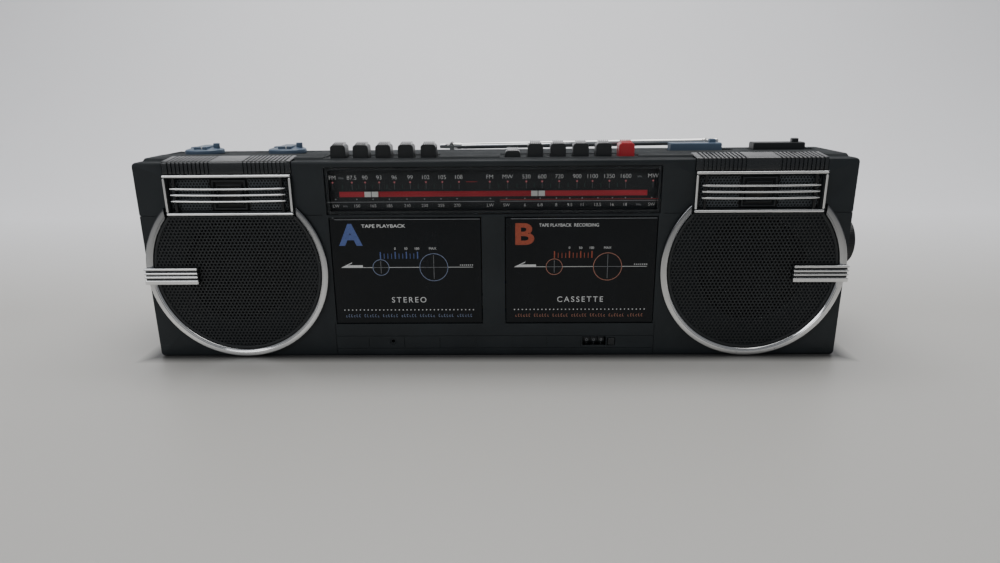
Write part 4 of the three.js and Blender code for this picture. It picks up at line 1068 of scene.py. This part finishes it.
def antenna():
    end = 221.4
    tube = bmesh.new()
    profile = [(0, -2.2), (1.6, -2.2), (2.5, -1.4), (2.8, -0.4), (2.8, 8), (2.6, 8.3), (2.6, 9), (2.8, 9.3), (2.8, end - 4),
               (3.2, end - 3.6), (3.3, end - 3), (3.3, end - 1.4), (2.8, end - 0.6), (2.7, end), (2.25, end), (2.25, 12), (0, 12)]
    turned(tube, profile, "x", 0, 0, 40)
    piece("antenna_outer_tube", on_mast(tube), TUBE_CHROME, "antenna_tube", ["antenna_tube"], angle=35)
    middle = bmesh.new()
    profile = [(0, 14), (1.9, 14), (1.9, end + 0.9), (1.7, end + 1.4), (1.4, end + 1.4), (1.4, 16), (0, 16)]
    turned(middle, profile, "x", 0, 0, 32)
    piece("antenna_middle_tube", on_mast(middle), TUBE_CHROME, "antenna_middle", ["antenna_middle"], angle=35)
    tip = bmesh.new()
    profile = [(0, 20), (1.05, 20), (1.05, end + 3), (2.2, end + 3.2), (2.9, end + 4.2), (3, end + 5.4), (3, end + 8.4),
               (2.6, end + 9.7), (1.6, end + 10.4), (0, end + 10.5)]
    turned(tip, profile, "x", 0, 0, 32)
    piece("antenna_tip_rod", on_mast(tip), TUBE_CHROME, "antenna_tip", ["antenna_tip"], angle=35)
    base = bmesh.new()
    turned(base, [(0, -12), (2, -12), (2, -4.8), (5.0, -4.8), (5.4, -4.6), (5.4, -4.2), (5.0, -4.0), (0, -4.0)], "z", 0, 0, 40)
    piece("antenna_swivel_base", base, STEEL, "antenna_swivel", ["antenna_swivel"], bevel=0.1, position=MAST)
    fork = boxes((-5.6, -4.0, -4.7, 4.7, -1.8, 1.8))
    for y0, y1 in ((-4.7, -3.2), (3.2, 4.7)):
        outline = [(-1.7, -4.2), (1.7, -4.2), (1.7, 2.0)] + arc(0, 2.0, 1.7, 30, 150, 6) + [(-1.7, 2.0)]
        prism(fork, outline, y0, y1, "y")
        box(fork, -5.0, 0.6, y0 + 0.1, y1 - 0.1, -1.8, 1.2)
    turned(fork, round_corner([(0, -10.7), (2, -10.7), (2, -5), (0, -5)], 0.5, 3), "x", 0, 0, 28)
    turned(fork, [(0, -5.1), (1.1, -5.1), (1.1, -4.6), (0.7, -4.6), (0.7, 4.6), (1.1, 4.6), (1.1, 5.1), (0, 5.1)], "y", 0, 0, 20)
    piece("antenna_swivel_fork", fork, TUBE_CHROME, "antenna_swivel", bevel=0.12, position=MAST)


antenna()

# ---------------------------------------------------------------- back


def carry_handle():
    bm = bmesh.new()
    bar = rounded(52.3, 63.7, 82.2, 99.8, 4.4, 6)
    prism(bm, bar, -243, 243, "x")
    for side in (-1, 1):
        arm = arc(58, 149, 6, 0, 180, 12) + arc(58, 91, 6, 180, 360, 12)
        a, b = sorted((side * 236, side * 250))
        prism(bm, arm, a, b, "x")
        a, b = sorted((side * 249, side * 255))
        turned(bm, [(0, a), (3, a), (3, b), (0, b)], "x", 58, 149, 32)
    piece("carry_handle_loop", bm, BODY, "carry_handle", ["carry_handle"], bevel=0.9, segments=3)
    ribs = bmesh.new()
    for i in range(29):
        x = -70 + 5 * i
        prism(ribs, rounded(51.9, 64.0, 81.8, 100.0, 4.6, 5), x - 1.1, x + 1.1, "x")
    piece("carry_handle_ribs", ribs, BODY, "carry_handle", bevel=0.3)


def battery_cover():
    bm = boxes((-93.5, 93.5, 62.1, 64.6, 9.6, 70.6))
    turned(bm, [(0, -93.5), (1.4, -93.5), (1.4, 93.5), (0, 93.5)], "x", 63.5, 9.6, 16)
    for side in (-1, 1):
        a, b = sorted((side * 93, side * 96.1))
        turned(bm, [(0, a), (0.8, a), (0.8, b), (0, b)], "x", 63.5, 9.6, 12)
    box(bm, -8, 8, 60.1, 62.5, 61.6, 67.6)
    piece("battery_cover_panel", bm, BODY, "battery_cover", ["battery_cover"], bevel=0.35)
    ribs = bmesh.new()
    for i in range(9):
        box(ribs, -28, 28, 64.5, 64.95, 52.5 + 1.9 * i, 53.3 + 1.9 * i)
    prism(ribs, [(-5, 49), (5, 49), (0, 44)], 64.5, 64.9, "y")
    piece("battery_cover_grip", ribs, BODY, "battery_cover", bevel=0.12)


def inlet_pins():
    bm = bmesh.new()
    for x in (-203.5, -196.5):
        turned(bm, round_corner([(0, 53), (1.2, 53), (1.2, 61.6), (0, 62.2)], 0.5, 3), "y", x, 30, 20)
    piece("mains_inlet_pins", bm, STEEL, "cabinet")


carry_handle()
battery_cover()
inlet_pins()

# ---------------------------------------------------------------- tape counter


def tape_counter():
    bm = bmesh.new()
    for i in range(3):
        a = 73.5 + 6 * i
        profile = round_corner([(1.5, a + 0.25), (6.4, a + 0.25), (6.4, a + 5.75), (1.5, a + 5.75)], 0.3, 2)
        turned(bm, [(0, a + 0.25), *profile, (0, a + 5.75)], "x", -55, 12.3, 60)
    turned(bm, [(0, 71.5), (1.5, 71.5), (1.5, 92.9), (0, 92.9)], "x", -55, 12.3, 24)
    piece("tape_counter_wheels", bm, KEY, "tape_counter", ["tape_counter"], angle=40)
    digits = bmesh.new()
    for i in range(3):
        for k in range(10):
            one = bmesh.new()
            letters(one, str(k), 76.5 + 6 * i, 12.3, 2.7, -61.4, thick=0.06)
            turn = Matrix.Translation((0, -55, 12.3)) @ Matrix.Rotation(math.radians(36 * k), 4, "X")
            bmesh.ops.transform(one, verts=one.verts, matrix=turn @ Matrix.Translation((0, 55, -12.3)))
            mesh = bpy.data.meshes.new("digit")
            one.to_mesh(mesh)
            one.free()
            digits.from_mesh(mesh)
            bpy.data.meshes.remove(mesh)
    piece("tape_counter_digits", digits, DIM_INK, "tape_counter")
    button = boxes((93.6, 99.2, -65.9, -55, 9.1, 14.9))
    piece("counter_reset_cap", button, KEY, "counter_reset_button", ["counter_reset_button"], bevel=0.5, segments=3)


tape_counter()

# ---------------------------------------------------------------- pieces kept from the frame

KEPT = {
    "left_woofer": STEEL, "right_woofer": STEEL, "left_woofer_cone": CONE, "right_woofer_cone": CONE,
    "tape_motor": STEEL, "motor_pulley": BRASS, "drive_belt": RUBBER, "main_circuit_board": BOARD, "power_transformer": STEEL,
}
for node, paint in KEPT.items():
    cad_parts[node].data.materials[0] = paint

# ---------------------------------------------------------------- floor and light


def stage():
    """A pale floor that curves up into a pale wall well behind the object."""
    bm = bmesh.new()
    profile = [(-6.0, 0.0), (-1.0, 0.0)] + [(y, z + 1.3) for y, z in arc(0.6, 0.0, 1.3, -90, 0, 48)] + [(1.9, 4.0)]
    rows = [[bm.verts.new((x, y, z)) for y, z in profile] for x in (-6.0, 6.0)]
    for i in range(len(profile) - 1):
        bm.faces.new((rows[0][i], rows[1][i], rows[1][i + 1], rows[0][i + 1]))
    mesh = mesh_of(bm, "floor")
    for face in mesh.polygons:
        face.use_smooth = True
    floor = bpy.data.objects.new("floor", mesh)
    bpy.context.scene.collection.objects.link(floor)
    mesh.materials.append(floor_paint("floor_laminate"))


def lamp(name, place, aim, size, power, color=(1, 1, 1)):
    data = bpy.data.lights.new(name, "AREA")
    data.shape, data.size, data.size_y, data.energy, data.color = "RECTANGLE", *size, power, color
    light = bpy.data.objects.new(name, data)
    bpy.context.scene.collection.objects.link(light)
    light.location = place
    light.rotation_euler = (Vector(aim) - Vector(place)).to_track_quat("-Z", "Y").to_euler()


stage()
lamp("overhead", (0.1, 0.25, 1.9), (0, 0.1, 0), (2.4, 1.6), 26, (1.0, 0.99, 0.97))
lamp("front_fill", (-1.3, -1.9, 1.5), (0, 0, 0.1), (1.4, 1.2), 14, (0.97, 0.98, 1.0))
lamp("wall_wash", (0.0, 0.7, 2.3), (0, 1.7, 0.5), (3.2, 0.9), 30, (1.0, 1.0, 1.0))
world = bpy.data.worlds.new("room")
bpy.context.scene.world = world
world.use_nodes = True
world.node_tree.nodes["Background"].inputs["Color"].default_value = (0.62, 0.64, 0.68, 1)
world.node_tree.nodes["Background"].inputs["Strength"].default_value = 0.35
